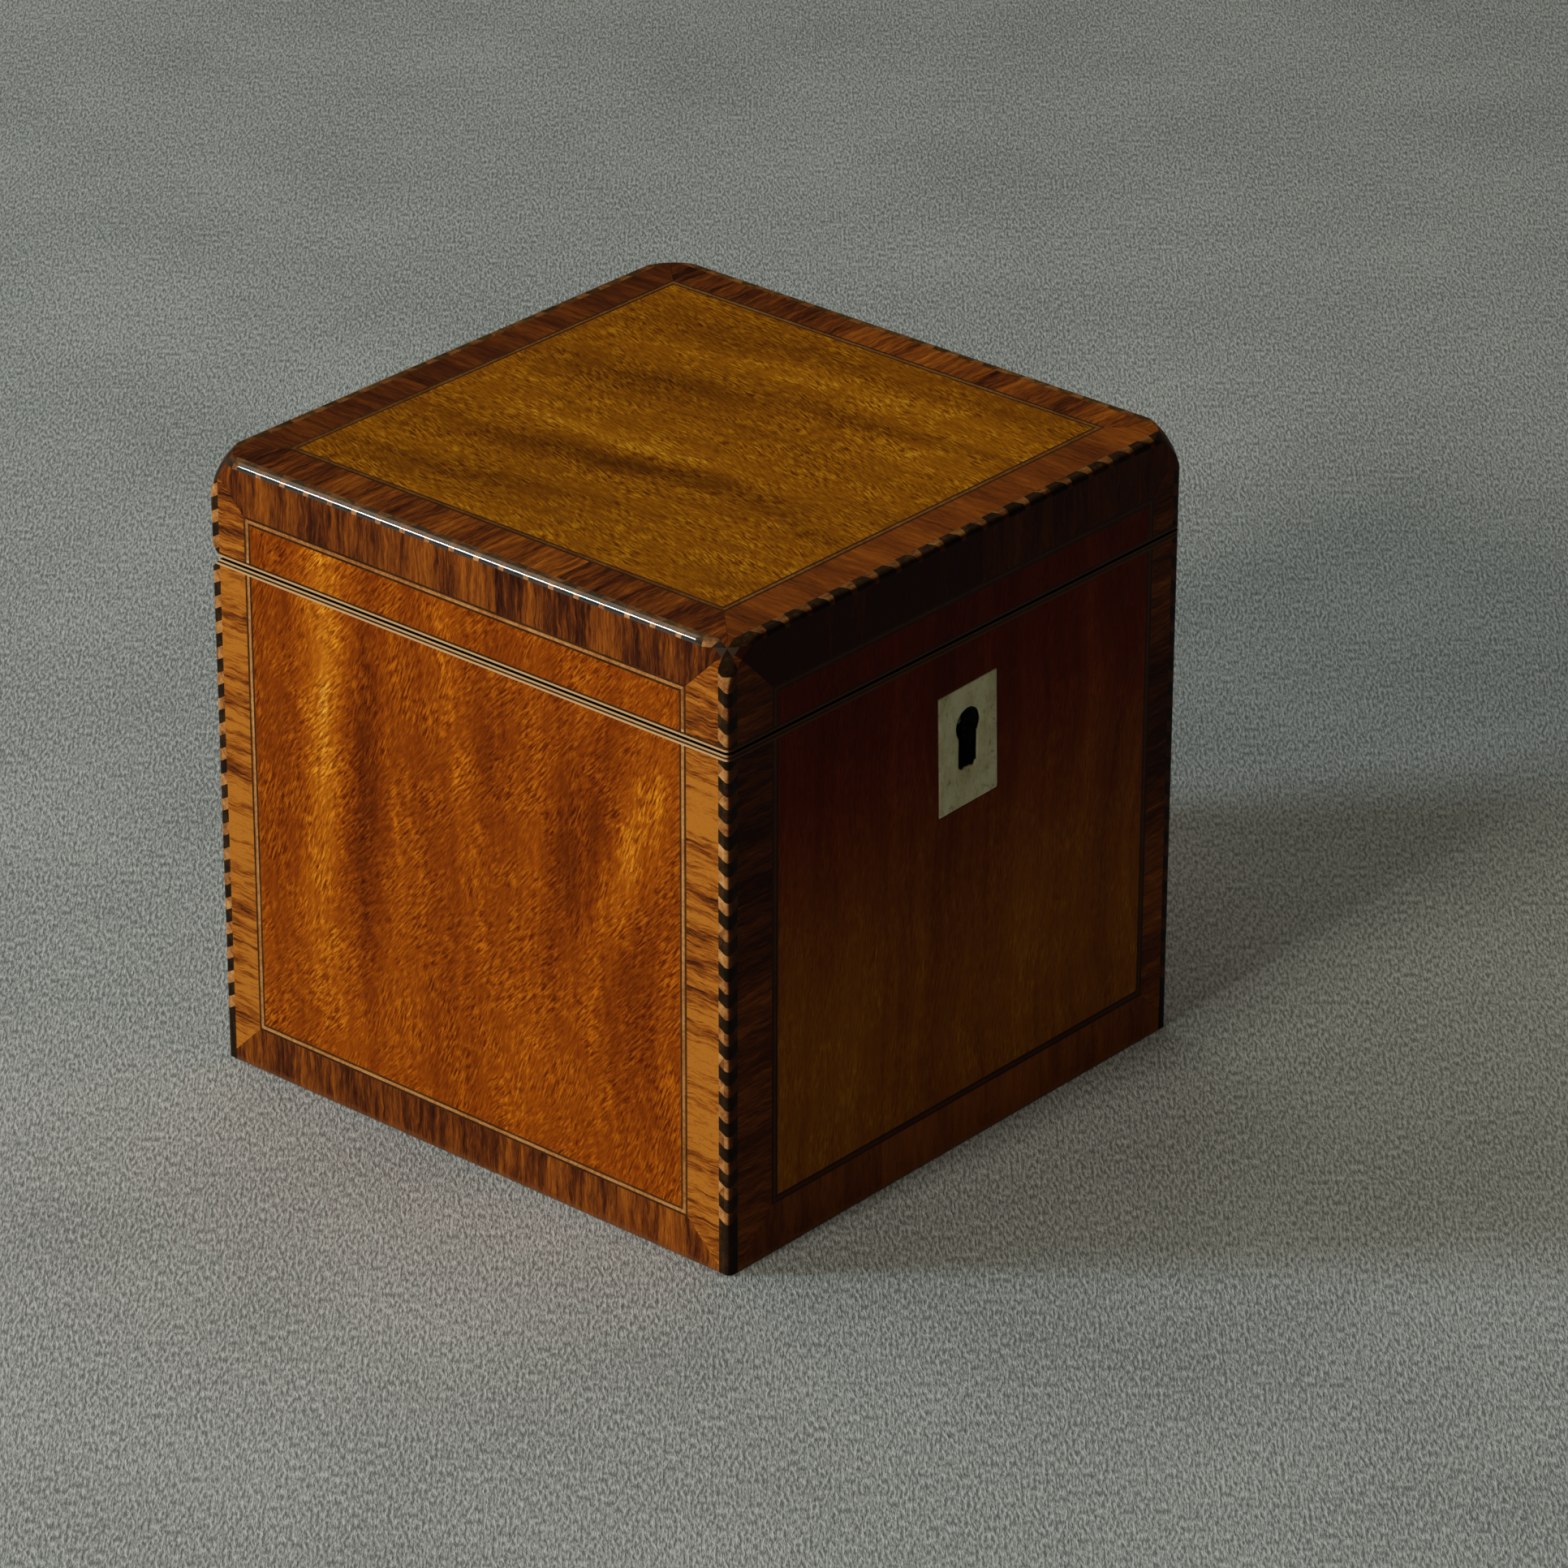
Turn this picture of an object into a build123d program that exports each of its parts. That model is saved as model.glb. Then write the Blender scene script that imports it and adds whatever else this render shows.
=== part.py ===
"""Cube tea caddy: a veneered and crossbanded box with a hinged lid, a loose inner lid and a small lock.

+Z is up, the origin is the middle of the underside, and the keyhole is on the front, the -Y side.
Lengths are in millimetres and angles in degrees. Left and right are as seen from the front.
"""
import os
from collections import namedtuple
from math import radians, tan

from build123d import *

# ---------------------------------------------------------------- driving dimensions
SIDE = 121.5             # outside width and depth
HEIGHT = 120.0           # outside, from underside to top
RIM = 100.3              # height of the body's rim
RIM_GAP = 0.5            # gap between body and lid when shut
WALL = 7.0               # carcass boards
BASE = 6.0               # base board
ROOF = 7.0               # top board of the lid
VENEER = 1.0             # panels, borders and lines
STICK = 2.3              # width of the chequered edge sticks
TOP_STICK = 1.2          # how far the sticks of the top reach down the sides
ROUNDING = 1.1           # rounding of the outer arrises
WEAR_RADIUS = 14.0       # the corners of the top are rubbed down further, to this rounding,
WEAR_OUTSET = 3.95       # drawn round a box this much bigger on each side
FOOT_GAP = 0.2           # veneers stop this far above the underside
JOINT = 0.06             # glue line between lengths of crossbanding

BOXWOOD = 0.6            # light line round each panel
EBONY = 0.45             # dark line on each side of it
EDGING = 0.4             # lines along the rims

# ---------------------------------------------------------------- derived places
HALF = SIDE / 2                          # outside faces
CORE = HALF - VENEER                     # outside of the carcass
LAP = CORE - WALL / 2                    # shoulder of the lapped corner joints
CAVITY = CORE - WALL                     # inside of the carcass
FIELD = HALF - STICK                     # where the veneers meet the edge sticks
SPREAD = BOXWOOD / 2 + EBONY             # half the width of a triple line
LID_FOOT = RIM + RIM_GAP
CEILING = HEIGHT - VENEER - ROOF         # underside of the top board
BODY_TOP = RIM - 3 * EDGING              # top of the body's panels
LID_BOTTOM = LID_FOOT + 2 * EDGING       # bottom of the lid's panels

# Centres of the light lines on each face, seen from outside, and the joints in its crossbanding.
Face = namedtuple("Face", "plane left right foot head left_joints right_joints foot_joints head_joints butt")
FACES = {
    "front": Face(Plane((0, -CORE, 0), x_dir=(1, 0, 0), z_dir=(0, -1, 0)),
                  -48.8, 52.2, 10.3, 108.5, (38, 71), (45, 80), (-20, 24), (5,), False),
    "left": Face(Plane((-CORE, 0, 0), x_dir=(0, -1, 0), z_dir=(-1, 0, 0)),
                 -51.5, 50.5, 9.2, 109.7, (30.5, 41, 76), (13, 35, 54, 82), (12,), (-3.5, 34.2), True),
    "right": Face(Plane((CORE, 0, 0), x_dir=(0, 1, 0), z_dir=(1, 0, 0)),
                  -50.6, 50.9, 10.0, 109.2, (33, 69), (48, 77), (-9, 30), (16,), False),
    "back": Face(Plane((0, CORE, 0), x_dir=(-1, 0, 0), z_dir=(0, 1, 0)),
                 -50.7, 50.5, 10.1, 109.0, (44, 66), (29, 61), (3,), (-22,), False),
}
TOP_PLANE = Plane.XY.offset(HEIGHT - VENEER)
TOP_LEFT, TOP_RIGHT, TOP_FRONT, TOP_BACK = -49.4, 50.8, -49.7, 50.9
TOP_JOINTS_X, TOP_JOINTS_Y = (-14, 21), (-20, 9)

# Chequered sticks: upright ones have light blocks cut on a slant that falls towards the arris.
SLANT = 0.6
BLOCK = 2.35             # light block, measured along the stick
PITCH = 5.0
BODY_FIRST, BODY_BLOCKS = 9.7, 18
LID_FIRST, LID_BLOCKS = 101.3, 3
# On top, each light block narrows from the panel's side of the stick to the arris.
WEDGE, WEDGE_TIP = 3.0, 1.2
TOP_PITCH = 5.76
FRONT_FIRST, FRONT_BLOCKS = -51.44, 19   # middle of the first block along the front and back
SIDE_FIRST, SIDE_BLOCKS = -55.4, 20      # and along the sides

# Hinges: two butts let into the rims at the back, with their barrels inside the outline.
AXIS_Y, AXIS_Z = HALF - 2.1, RIM + RIM_GAP / 2
HINGE_X = 36.0
LEAF_LENGTH, LEAF_START, LEAF = 22.0, CAVITY + 0.45, 1.1
KNUCKLES, KNUCKLE_GAP, KNUCKLE_R = 5, 0.3, 1.9
KNUCKLE = (LEAF_LENGTH - (KNUCKLES - 1) * KNUCKLE_GAP) / KNUCKLES
BARREL_SPACE = 2.3       # radius cleared in the wood round each barrel
PIN_R = 0.8
PIN_FIT, PIN_SLACK = 0.01, 0.05          # bores in the body's leaves, and in the lid's
STOP_ANGLE = 49.0        # slope of the chamfers that let the lid lean back
STOP_INSET = 0.35        # their meeting line lies this far in front of the hinge axis

# Lock: let into the inside of the front wall, its selvedge flush with the rim.
LOCK_X, KEY_Z = 2.2, 83.2
KEYHOLE_R, KEY_SLOT, KEY_SLOT_FOOT = 3.2, 5.0, 74.8
LOCK_HALF, CASE_HALF = 19.0, 15.0
LOCK_FOOT, CASE_FOOT = 69.5, 71.5
PLATE, SELVEDGE, SHEET = 1.0, 1.2, 0.8
SELVEDGE_DEPTH = 6.4
CASE_DEPTH = 4.25        # from the plate to the outside of the cap
PLATE_BACK = -(CAVITY + PLATE)
CAP_FRONT = PLATE_BACK - CASE_DEPTH
STAPLE_HALF, STAPLE_FOOT, STAPLE_SLACK = 3.0, 93.5, 0.6
STAPLE_FRONT, STAPLE_BACK = -56.4, -54.6
STAPLE_NOTCH, STAPLE_NOTCH_FOOT, STAPLE_NOTCH_TOP = 2.9, 95.1, 97.9
DRILL_PIN_R, DRILL_PIN_PROUD, DRILL_PIN_ROUNDING = 0.9, 0.6, 0.5
# The bolt's tail has a notch for the key, its neck stands at the left, and its nose points right.
BOLT_CLEAR = 0.3         # gap to the plate and to the cap
BOLT_LEFT, BOLT_NECK, BOLT_NOSE, BOLT_TAIL = -11.3, -5.3, -1.6, 8.0
TAIL_FOOT, TAIL_TOP, NOSE_FOOT, NOSE_TOP, NOSE_ROUNDING = 88.0, 92.0, 95.4, 97.6, 0.6
NOTCH_LEFT, NOTCH_RIGHT, NOTCH_TOP = -1.5, 3.0, 90.2
SPRING_LEFT, SPRING_MIDDLE, SPRING_RIGHT = -11.2, -7.0, -2.8
SPRING_ENDS, SPRING_DIP, SPRING_SHEET, SPRING_CLEAR = 98.85, 98.0, 0.25, 0.8

ESCUTCHEON_W, ESCUTCHEON_H, ESCUTCHEON_Z, ESCUTCHEON_TILT = 15.9, 23.3, 79.4, 1.6
ESCUTCHEON_SLACK = 0.12  # loose fit of the bone plate in the veneer

SCREW_R, SCREW_HEAD, SCREW_SLOT, PILOT_SLACK = 0.7, 1.45, 0.4, 0.02
LONG_SCREW, LOCK_SCREW = 6.0, 4.5
LEAF_SCREW_X, LEAF_SCREW_Y = 7.0, 1.9    # from the leaf's middle, and from its inner edge
LOCK_SCREW_X, LOCK_SCREW_Z = 17.0, (72.5, 94.0)
LINK_SCREW_X, LINK_SCREW_Y = 13.0, 3.2

# Inside the compartment.
LINING, LINING_TOP = 3.0, 86.0
FOIL = 0.6
INNER_LID, INNER_LID_FOOT, INNER_LID_FIT = 4.0, 86.1, 0.4
KNOB_R, KNOB_HEIGHT, SPIGOT_R = 5.5, 9.0, 2.0
KNOB_FOOT_R, KNOB_FOOT, KNOB_WAIST_R, KNOB_WAIST = 4.2, 0.9, 2.4, 2.2
KNOB_NECK_R, KNOB_NECK, KNOB_WIDEST = 3.3, 3.4, 6.1
SPIGOT_SHORT = 0.4       # the knob's spigot stops this far above the underside
INNER_LID_ROUNDING = 1.2
PAPER = 0.25

os.makedirs("parts", exist_ok=True)


def finish(piece, name):
    """Label a finished piece and write it to its own file."""
    piece.part.label = name
    export_step(piece.part, f"parts/{name}.step")


def bar(u0, u1, v0, v1, mode=Mode.ADD):
    """Rectangle between two pairs of coordinates of the sketch in hand."""
    with Locations(((u0 + u1) / 2, (v0 + v1) / 2)):
        Rectangle(abs(u1 - u0), abs(v1 - v0), mode=mode)


def core_outline(mode=Mode.ADD):
    """Plan of the carcass, with its corners rebated for the edge sticks."""
    Rectangle(2 * CORE, 2 * FIELD, mode=mode)
    Rectangle(2 * FIELD, 2 * CORE, mode=mode)


def long_wall(side):
    """Plan of the front (side -1) or back (side +1) wall, lapped over the ends of the side walls."""
    bar(-CORE, CORE, side * FIELD, side * LAP)
    bar(-FIELD, FIELD, side * CORE, side * FIELD)
    bar(-LAP, LAP, side * LAP, side * CAVITY)


def short_wall(side):
    """Plan of the left (side -1) or right (side +1) wall."""
    bar(side * CORE, side * LAP, -LAP, LAP)
    bar(side * LAP, side * CAVITY, -CAVITY, CAVITY)


def u_line(left, right, closed, opened, width):
    """Line round three sides of a field: two uprights and the stretch that joins them at `closed`."""
    low, high = min(closed - width / 2, opened), max(closed + width / 2, opened)
    bar(left - width / 2, left + width / 2, low, high)
    bar(right - width / 2, right + width / 2, low, high)
    bar(left - width / 2, right + width / 2, closed - width / 2, closed + width / 2)


def ring_line(left, right, front, back, width):
    """Closed line round the panel on top of the lid."""
    half = width / 2
    bar(left - half, right + half, front - half, back + half)
    bar(left + half, right - half, front + half, back - half, mode=Mode.SUBTRACT)


def cross_cuts(places, length, rotation):
    """Thin joints across crossbanding."""
    if places:
        with Locations(*places):
            Rectangle(length, JOINT, rotation=rotation, mode=Mode.SUBTRACT)


def keyhole(mode=Mode.SUBTRACT):
    """Round-headed keyhole, drawn on an upright plane that faces front or back."""
    with Locations((LOCK_X, KEY_Z)):
        Circle(KEYHOLE_R, mode=mode)
    bar(LOCK_X - KEY_SLOT / 2, LOCK_X + KEY_SLOT / 2, KEY_SLOT_FOOT, KEY_Z, mode=mode)


def front_plane(y):
    """Upright plane at depth y that faces the front: X to the right, Z up."""
    return Plane((0, y, 0), x_dir=(1, 0, 0), z_dir=(0, -1, 0))


def screws(places, length, slack=0.0):
    """Slotted countersunk screws, or with slack their holes. Each plane faces the way its screw goes in."""
    sink = SCREW_HEAD - SCREW_R
    with BuildPart() as batch:
        for place in places:
            with BuildSketch(place):
                Circle(SCREW_HEAD + slack)
            extrude(amount=sink, taper=45)
            with BuildSketch(place):
                Circle(SCREW_R + slack)
            extrude(amount=length)
            if not slack:
                with BuildSketch(place):
                    Rectangle(3 * SCREW_HEAD, SCREW_SLOT)
                extrude(amount=SCREW_SLOT, mode=Mode.SUBTRACT)
    return batch


# ---------------------------------------------------------------- shapes that others are cut to
with BuildPart() as worn_form:
    with BuildSketch():
        Rectangle(SIDE + 2 * WEAR_OUTSET, SIDE + 2 * WEAR_OUTSET)
    extrude(amount=HEIGHT + WEAR_OUTSET)
    fillet(edges().filter_by(Axis.Z) + faces().sort_by(Axis.Z)[-1].edges(), radius=WEAR_RADIUS)

with BuildPart() as outer_form:
    with BuildSketch():
        Rectangle(SIDE, SIDE)
    extrude(amount=HEIGHT)
    fillet(edges().filter_by(Axis.Z) + faces().sort_by(Axis.Z)[-1].edges(), radius=ROUNDING)
    add(worn_form.part, mode=Mode.INTERSECT)

with BuildPart() as hinge_space:
    # The V-shaped gap that lets the lid lean back, and the room round each barrel.
    reach = HALF + 1 - (AXIS_Y - STOP_INSET)
    rise = reach * tan(radians(STOP_ANGLE))
    with BuildSketch(Plane.YZ):
        with Locations((AXIS_Y - STOP_INSET, AXIS_Z)):
            Polygon((0, 0), (reach, -rise), (reach, rise), align=None)
    extrude(amount=HALF + 1, both=True)
    for x in (-HINGE_X, HINGE_X):
        with BuildSketch(Plane.YZ.offset(x)):
            with Locations((AXIS_Y, AXIS_Z)):
                Circle(BARREL_SPACE)
        extrude(amount=LEAF_LENGTH / 2 + KNUCKLE_GAP, both=True)

LEAF_SCREW_SPOTS = [(x + dx, LEAF_START + LEAF_SCREW_Y)
                    for x in (-HINGE_X, HINGE_X) for dx in (-LEAF_SCREW_X, LEAF_SCREW_X)]
BODY_LEAF_SCREWS = [Plane((x, y, RIM), z_dir=(0, 0, -1)) for x, y in LEAF_SCREW_SPOTS]
LID_LEAF_SCREWS = [Plane((x, y, LID_FOOT), z_dir=(0, 0, 1)) for x, y in LEAF_SCREW_SPOTS]
LOCK_SCREWS = [Plane((LOCK_X + dx, -CAVITY, z), z_dir=(0, -1, 0))
               for dx in (-LOCK_SCREW_X, LOCK_SCREW_X) for z in LOCK_SCREW_Z]
LINK_SCREWS = [Plane((LOCK_X + dx, -CAVITY - LINK_SCREW_Y, LID_FOOT), z_dir=(0, 0, 1))
               for dx in (-LINK_SCREW_X, LINK_SCREW_X)]

hinge_screws_body = screws(BODY_LEAF_SCREWS, LONG_SCREW)
hinge_screws_lid = screws(LID_LEAF_SCREWS, LONG_SCREW)
lock_screws = screws(LOCK_SCREWS, LOCK_SCREW)
link_plate_screws = screws(LINK_SCREWS, LONG_SCREW)
finish(hinge_screws_body, "hinge_screws_body")
finish(hinge_screws_lid, "hinge_screws_lid")
finish(lock_screws, "lock_screws")
finish(link_plate_screws, "link_plate_screws")

body_leaf_holes = screws(BODY_LEAF_SCREWS, LONG_SCREW, PILOT_SLACK)
lid_leaf_holes = screws(LID_LEAF_SCREWS, LONG_SCREW, PILOT_SLACK)
lock_holes = screws(LOCK_SCREWS, LOCK_SCREW, PILOT_SLACK)
link_holes = screws(LINK_SCREWS, LONG_SCREW, PILOT_SLACK)

# ---------------------------------------------------------------- body carcass
with BuildPart() as base_board:
    with BuildSketch():
        core_outline()
    extrude(amount=BASE)
finish(base_board, "base_board")

with BuildPart() as carcass_front:
    with BuildSketch(Plane.XY.offset(BASE)):
        long_wall(-1)
    extrude(amount=RIM - BASE)
    with BuildSketch(front_plane(-CAVITY)):
        bar(LOCK_X - LOCK_HALF, LOCK_X + LOCK_HALF, LOCK_FOOT, RIM)
    extrude(amount=PLATE, mode=Mode.SUBTRACT)
    with BuildSketch(front_plane(-CAVITY)):
        bar(LOCK_X - LOCK_HALF, LOCK_X + LOCK_HALF, RIM - SELVEDGE, RIM)
    extrude(amount=SELVEDGE_DEPTH, mode=Mode.SUBTRACT)
    with BuildSketch(front_plane(PLATE_BACK)):
        bar(LOCK_X - CASE_HALF, LOCK_X + CASE_HALF, CASE_FOOT, RIM)
    extrude(amount=CASE_DEPTH, mode=Mode.SUBTRACT)
    with BuildSketch(front_plane(CAP_FRONT)):
        keyhole(Mode.ADD)
    extrude(amount=CORE + CAP_FRONT, mode=Mode.SUBTRACT)
    add(lock_holes.part, mode=Mode.SUBTRACT)
finish(carcass_front, "carcass_front")

with BuildPart() as carcass_back:
    with BuildSketch(Plane.XY.offset(BASE)):
        long_wall(1)
    extrude(amount=RIM - BASE)
    with BuildSketch(Plane.XY.offset(RIM)):
        for x in (-HINGE_X, HINGE_X):
            bar(x - LEAF_LENGTH / 2, x + LEAF_LENGTH / 2, LEAF_START, AXIS_Y)
    extrude(amount=-LEAF, mode=Mode.SUBTRACT)
    add(hinge_space.part, mode=Mode.SUBTRACT)
    add(body_leaf_holes.part, mode=Mode.SUBTRACT)
finish(carcass_back, "carcass_back")

for name, side in (("carcass_left", -1), ("carcass_right", 1)):
    with BuildPart() as carcass_side:
        with BuildSketch(Plane.XY.offset(BASE)):
            short_wall(side)
        extrude(amount=RIM - BASE)
    finish(carcass_side, name)

# ---------------------------------------------------------------- lid carcass
with BuildPart() as lid_top_board:
    with BuildSketch(Plane.XY.offset(CEILING)):
        core_outline()
    extrude(amount=HEIGHT - TOP_STICK - CEILING)
    with BuildSketch(Plane.XY.offset(HEIGHT - TOP_STICK)):
        Rectangle(2 * FIELD, 2 * FIELD)
    extrude(amount=TOP_STICK - VENEER)
    add(worn_form.part, mode=Mode.INTERSECT)
finish(lid_top_board, "lid_top_board")

with BuildPart() as lid_wall_front:
    with BuildSketch(Plane.XY.offset(LID_FOOT)):
        long_wall(-1)
    extrude(amount=CEILING - LID_FOOT)
    with BuildSketch(front_plane(-CAVITY)):
        bar(LOCK_X - LOCK_HALF, LOCK_X + LOCK_HALF, LID_FOOT, LID_FOOT + SELVEDGE)
    extrude(amount=SELVEDGE_DEPTH, mode=Mode.SUBTRACT)
    add(link_holes.part, mode=Mode.SUBTRACT)
finish(lid_wall_front, "lid_wall_front")

with BuildPart() as lid_wall_back:
    with BuildSketch(Plane.XY.offset(LID_FOOT)):
        long_wall(1)
    extrude(amount=CEILING - LID_FOOT)
    with BuildSketch(Plane.XY.offset(LID_FOOT)):
        for x in (-HINGE_X, HINGE_X):
            bar(x - LEAF_LENGTH / 2, x + LEAF_LENGTH / 2, LEAF_START, AXIS_Y)
    extrude(amount=LEAF, mode=Mode.SUBTRACT)
    add(hinge_space.part, mode=Mode.SUBTRACT)
    add(lid_leaf_holes.part, mode=Mode.SUBTRACT)
finish(lid_wall_back, "lid_wall_back")

for name, side in (("lid_wall_left", -1), ("lid_wall_right", 1)):
    with BuildPart() as lid_wall_side:
        with BuildSketch(Plane.XY.offset(LID_FOOT)):
            short_wall(side)
        extrude(amount=CEILING - LID_FOOT)
    finish(lid_wall_side, name)

with BuildPart() as lid_lining_paper:
    with BuildSketch(Plane.XY.offset(CEILING)):
        Rectangle(2 * CAVITY, 2 * CAVITY)
    extrude(amount=-PAPER)
finish(lid_lining_paper, "lid_lining_paper")

# ---------------------------------------------------------------- veneer panels and crossbanding
for side, face in FACES.items():
    left, right = face.left + SPREAD, face.right - SPREAD
    with BuildPart() as body_panel:
        with BuildSketch(face.plane):
            bar(left, right, face.foot + SPREAD, BODY_TOP)
            if side == "front":
                with Locations((LOCK_X, ESCUTCHEON_Z)):
                    Rectangle(ESCUTCHEON_W + 2 * ESCUTCHEON_SLACK, ESCUTCHEON_H + 2 * ESCUTCHEON_SLACK,
                              rotation=ESCUTCHEON_TILT, mode=Mode.SUBTRACT)
        extrude(amount=VENEER)
        if side == "back":
            add(hinge_space.part, mode=Mode.SUBTRACT)
    finish(body_panel, f"body_panel_{side}")

    with BuildPart() as lid_panel:
        with BuildSketch(face.plane):
            bar(left, right, LID_BOTTOM, face.head - SPREAD)
        extrude(amount=VENEER)
        if side == "back":
            add(hinge_space.part, mode=Mode.SUBTRACT)
    finish(lid_panel, f"lid_panel_{side}")

    left, right = face.left - SPREAD, face.right + SPREAD
    left_mid, right_mid = (left - FIELD) / 2, (right + FIELD) / 2
    with BuildPart() as body_crossband:
        foot = face.foot - SPREAD
        with BuildSketch(face.plane):
            bar(-FIELD, left, FOOT_GAP, BODY_TOP)
            bar(right, FIELD, FOOT_GAP, BODY_TOP)
            bar(-FIELD, FIELD, FOOT_GAP, foot)
            if face.butt:
                cross_cuts([(left_mid, foot)], left + FIELD, 0)
            else:
                cross_cuts([(left, foot)], 3 * foot, 45)
            cross_cuts([(right, foot)], 3 * foot, -45)
            cross_cuts([(left_mid, z) for z in face.left_joints], 2 * (left + FIELD), 0)
            cross_cuts([(right_mid, z) for z in face.right_joints], 2 * (FIELD - right), 0)
            cross_cuts([(u, foot / 2) for u in face.foot_joints], 2 * foot, 90)
        extrude(amount=VENEER)
        if side == "back":
            add(hinge_space.part, mode=Mode.SUBTRACT)
    finish(body_crossband, f"body_crossband_{side}")

    with BuildPart() as lid_crossband:
        head, edge = face.head + SPREAD, HEIGHT - TOP_STICK
        with BuildSketch(face.plane):
            bar(-FIELD, left, LID_BOTTOM, edge)
            bar(right, FIELD, LID_BOTTOM, edge)
            bar(-FIELD, FIELD, head, edge)
            cross_cuts([(left, head)], 3 * (edge - head), -45)
            cross_cuts([(right, head)], 3 * (edge - head), 45)
            cross_cuts([(u, (head + edge) / 2) for u in face.head_joints], 2 * (edge - head), 90)
        extrude(amount=VENEER)
        add(worn_form.part, mode=Mode.INTERSECT)
        if side == "back":
            add(hinge_space.part, mode=Mode.SUBTRACT)
    finish(lid_crossband, f"lid_crossband_{side}")

with BuildPart() as lid_panel_top:
    with BuildSketch(TOP_PLANE):
        bar(TOP_LEFT + SPREAD, TOP_RIGHT - SPREAD, TOP_FRONT + SPREAD, TOP_BACK - SPREAD)
    extrude(amount=VENEER)
finish(lid_panel_top, "lid_panel_top")

with BuildPart() as lid_crossband_top:
    left, right = TOP_LEFT - SPREAD, TOP_RIGHT + SPREAD
    front, back = TOP_FRONT - SPREAD, TOP_BACK + SPREAD
    width = 3 * (FIELD - right)
    with BuildSketch(TOP_PLANE):
        Rectangle(2 * FIELD, 2 * FIELD)
        bar(left, right, front, back, mode=Mode.SUBTRACT)
        cross_cuts([(left, front), (right, back)], 2 * width, 45)
        cross_cuts([(left, back), (right, front)], 2 * width, -45)
        cross_cuts([(x, y) for x in TOP_JOINTS_X for y in (-FIELD, FIELD)], width, 90)
        cross_cuts([(x, y) for x in (-FIELD, FIELD) for y in TOP_JOINTS_Y], width, 0)
    extrude(amount=VENEER)
    add(worn_form.part, mode=Mode.INTERSECT)
finish(lid_crossband_top, "lid_crossband_top")

# ---------------------------------------------------------------- stringing
DARK_OFFSET = (BOXWOOD + EBONY) / 2      # centre of each dark line from the light line's centre


def rim_ring():
    """Plan of a line round the whole box at a rim."""
    Rectangle(SIDE, SIDE)
    core_outline(Mode.SUBTRACT)


with BuildPart() as body_boxwood_stringing:
    for face in FACES.values():
        with BuildSketch(face.plane):
            u_line(face.left, face.right, face.foot, BODY_TOP, BOXWOOD)
        extrude(amount=VENEER)
    with BuildSketch(Plane.XY.offset(RIM - EDGING), Plane.XY.offset(RIM - 3 * EDGING)):
        rim_ring()
    extrude(amount=EDGING)
    add(outer_form.part, mode=Mode.INTERSECT)
    add(hinge_space.part, mode=Mode.SUBTRACT)
finish(body_boxwood_stringing, "body_boxwood_stringing")

with BuildPart() as body_ebony_stringing:
    for face in FACES.values():
        for shift in (-DARK_OFFSET, DARK_OFFSET):
            with BuildSketch(face.plane):
                u_line(face.left - shift, face.right + shift, face.foot - shift, BODY_TOP, EBONY)
            extrude(amount=VENEER)
    with BuildSketch(Plane.XY.offset(RIM - 2 * EDGING)):
        rim_ring()
    extrude(amount=EDGING)
    add(outer_form.part, mode=Mode.INTERSECT)
    add(hinge_space.part, mode=Mode.SUBTRACT)
finish(body_ebony_stringing, "body_ebony_stringing")

with BuildPart() as lid_boxwood_stringing:
    for face in FACES.values():
        with BuildSketch(face.plane):
            u_line(face.left, face.right, face.head, LID_BOTTOM, BOXWOOD)
        extrude(amount=VENEER)
    with BuildSketch(TOP_PLANE):
        ring_line(TOP_LEFT, TOP_RIGHT, TOP_FRONT, TOP_BACK, BOXWOOD)
    extrude(amount=VENEER)
    with BuildSketch(Plane.XY.offset(LID_FOOT)):
        rim_ring()
    extrude(amount=EDGING)
    add(outer_form.part, mode=Mode.INTERSECT)
    add(hinge_space.part, mode=Mode.SUBTRACT)
finish(lid_boxwood_stringing, "lid_boxwood_stringing")

with BuildPart() as lid_ebony_stringing:
    for shift in (-DARK_OFFSET, DARK_OFFSET):
        for face in FACES.values():
            with BuildSketch(face.plane):
                u_line(face.left - shift, face.right + shift, face.head + shift, LID_BOTTOM, EBONY)
            extrude(amount=VENEER)
        with BuildSketch(TOP_PLANE):
            ring_line(TOP_LEFT - shift, TOP_RIGHT + shift, TOP_FRONT - shift, TOP_BACK + shift, EBONY)
        extrude(amount=VENEER)
    with BuildSketch(Plane.XY.offset(LID_FOOT + EDGING)):
        rim_ring()
    extrude(amount=EDGING)
    add(outer_form.part, mode=Mode.INTERSECT)
    add(hinge_space.part, mode=Mode.SUBTRACT)
finish(lid_ebony_stringing, "lid_ebony_stringing")

# ---------------------------------------------------------------- chequered edge sticks
CORNERS = [(x, y) for x in (-1, 1) for y in (-1, 1)]


def corner_slabs(first, count):
    """Slanted slabs that pick the light blocks out of the four upright sticks."""
    with BuildPart() as batch:
        for x, y in CORNERS:
            for i in range(count):
                with BuildSketch(Plane((x * HALF, y * HALF, first + i * PITCH), z_dir=(x * SLANT, y * SLANT, 1))):
                    Rectangle(4 * STICK, 4 * STICK)
                extrude(amount=BLOCK, dir=(0, 0, 1))
    return batch


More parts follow.
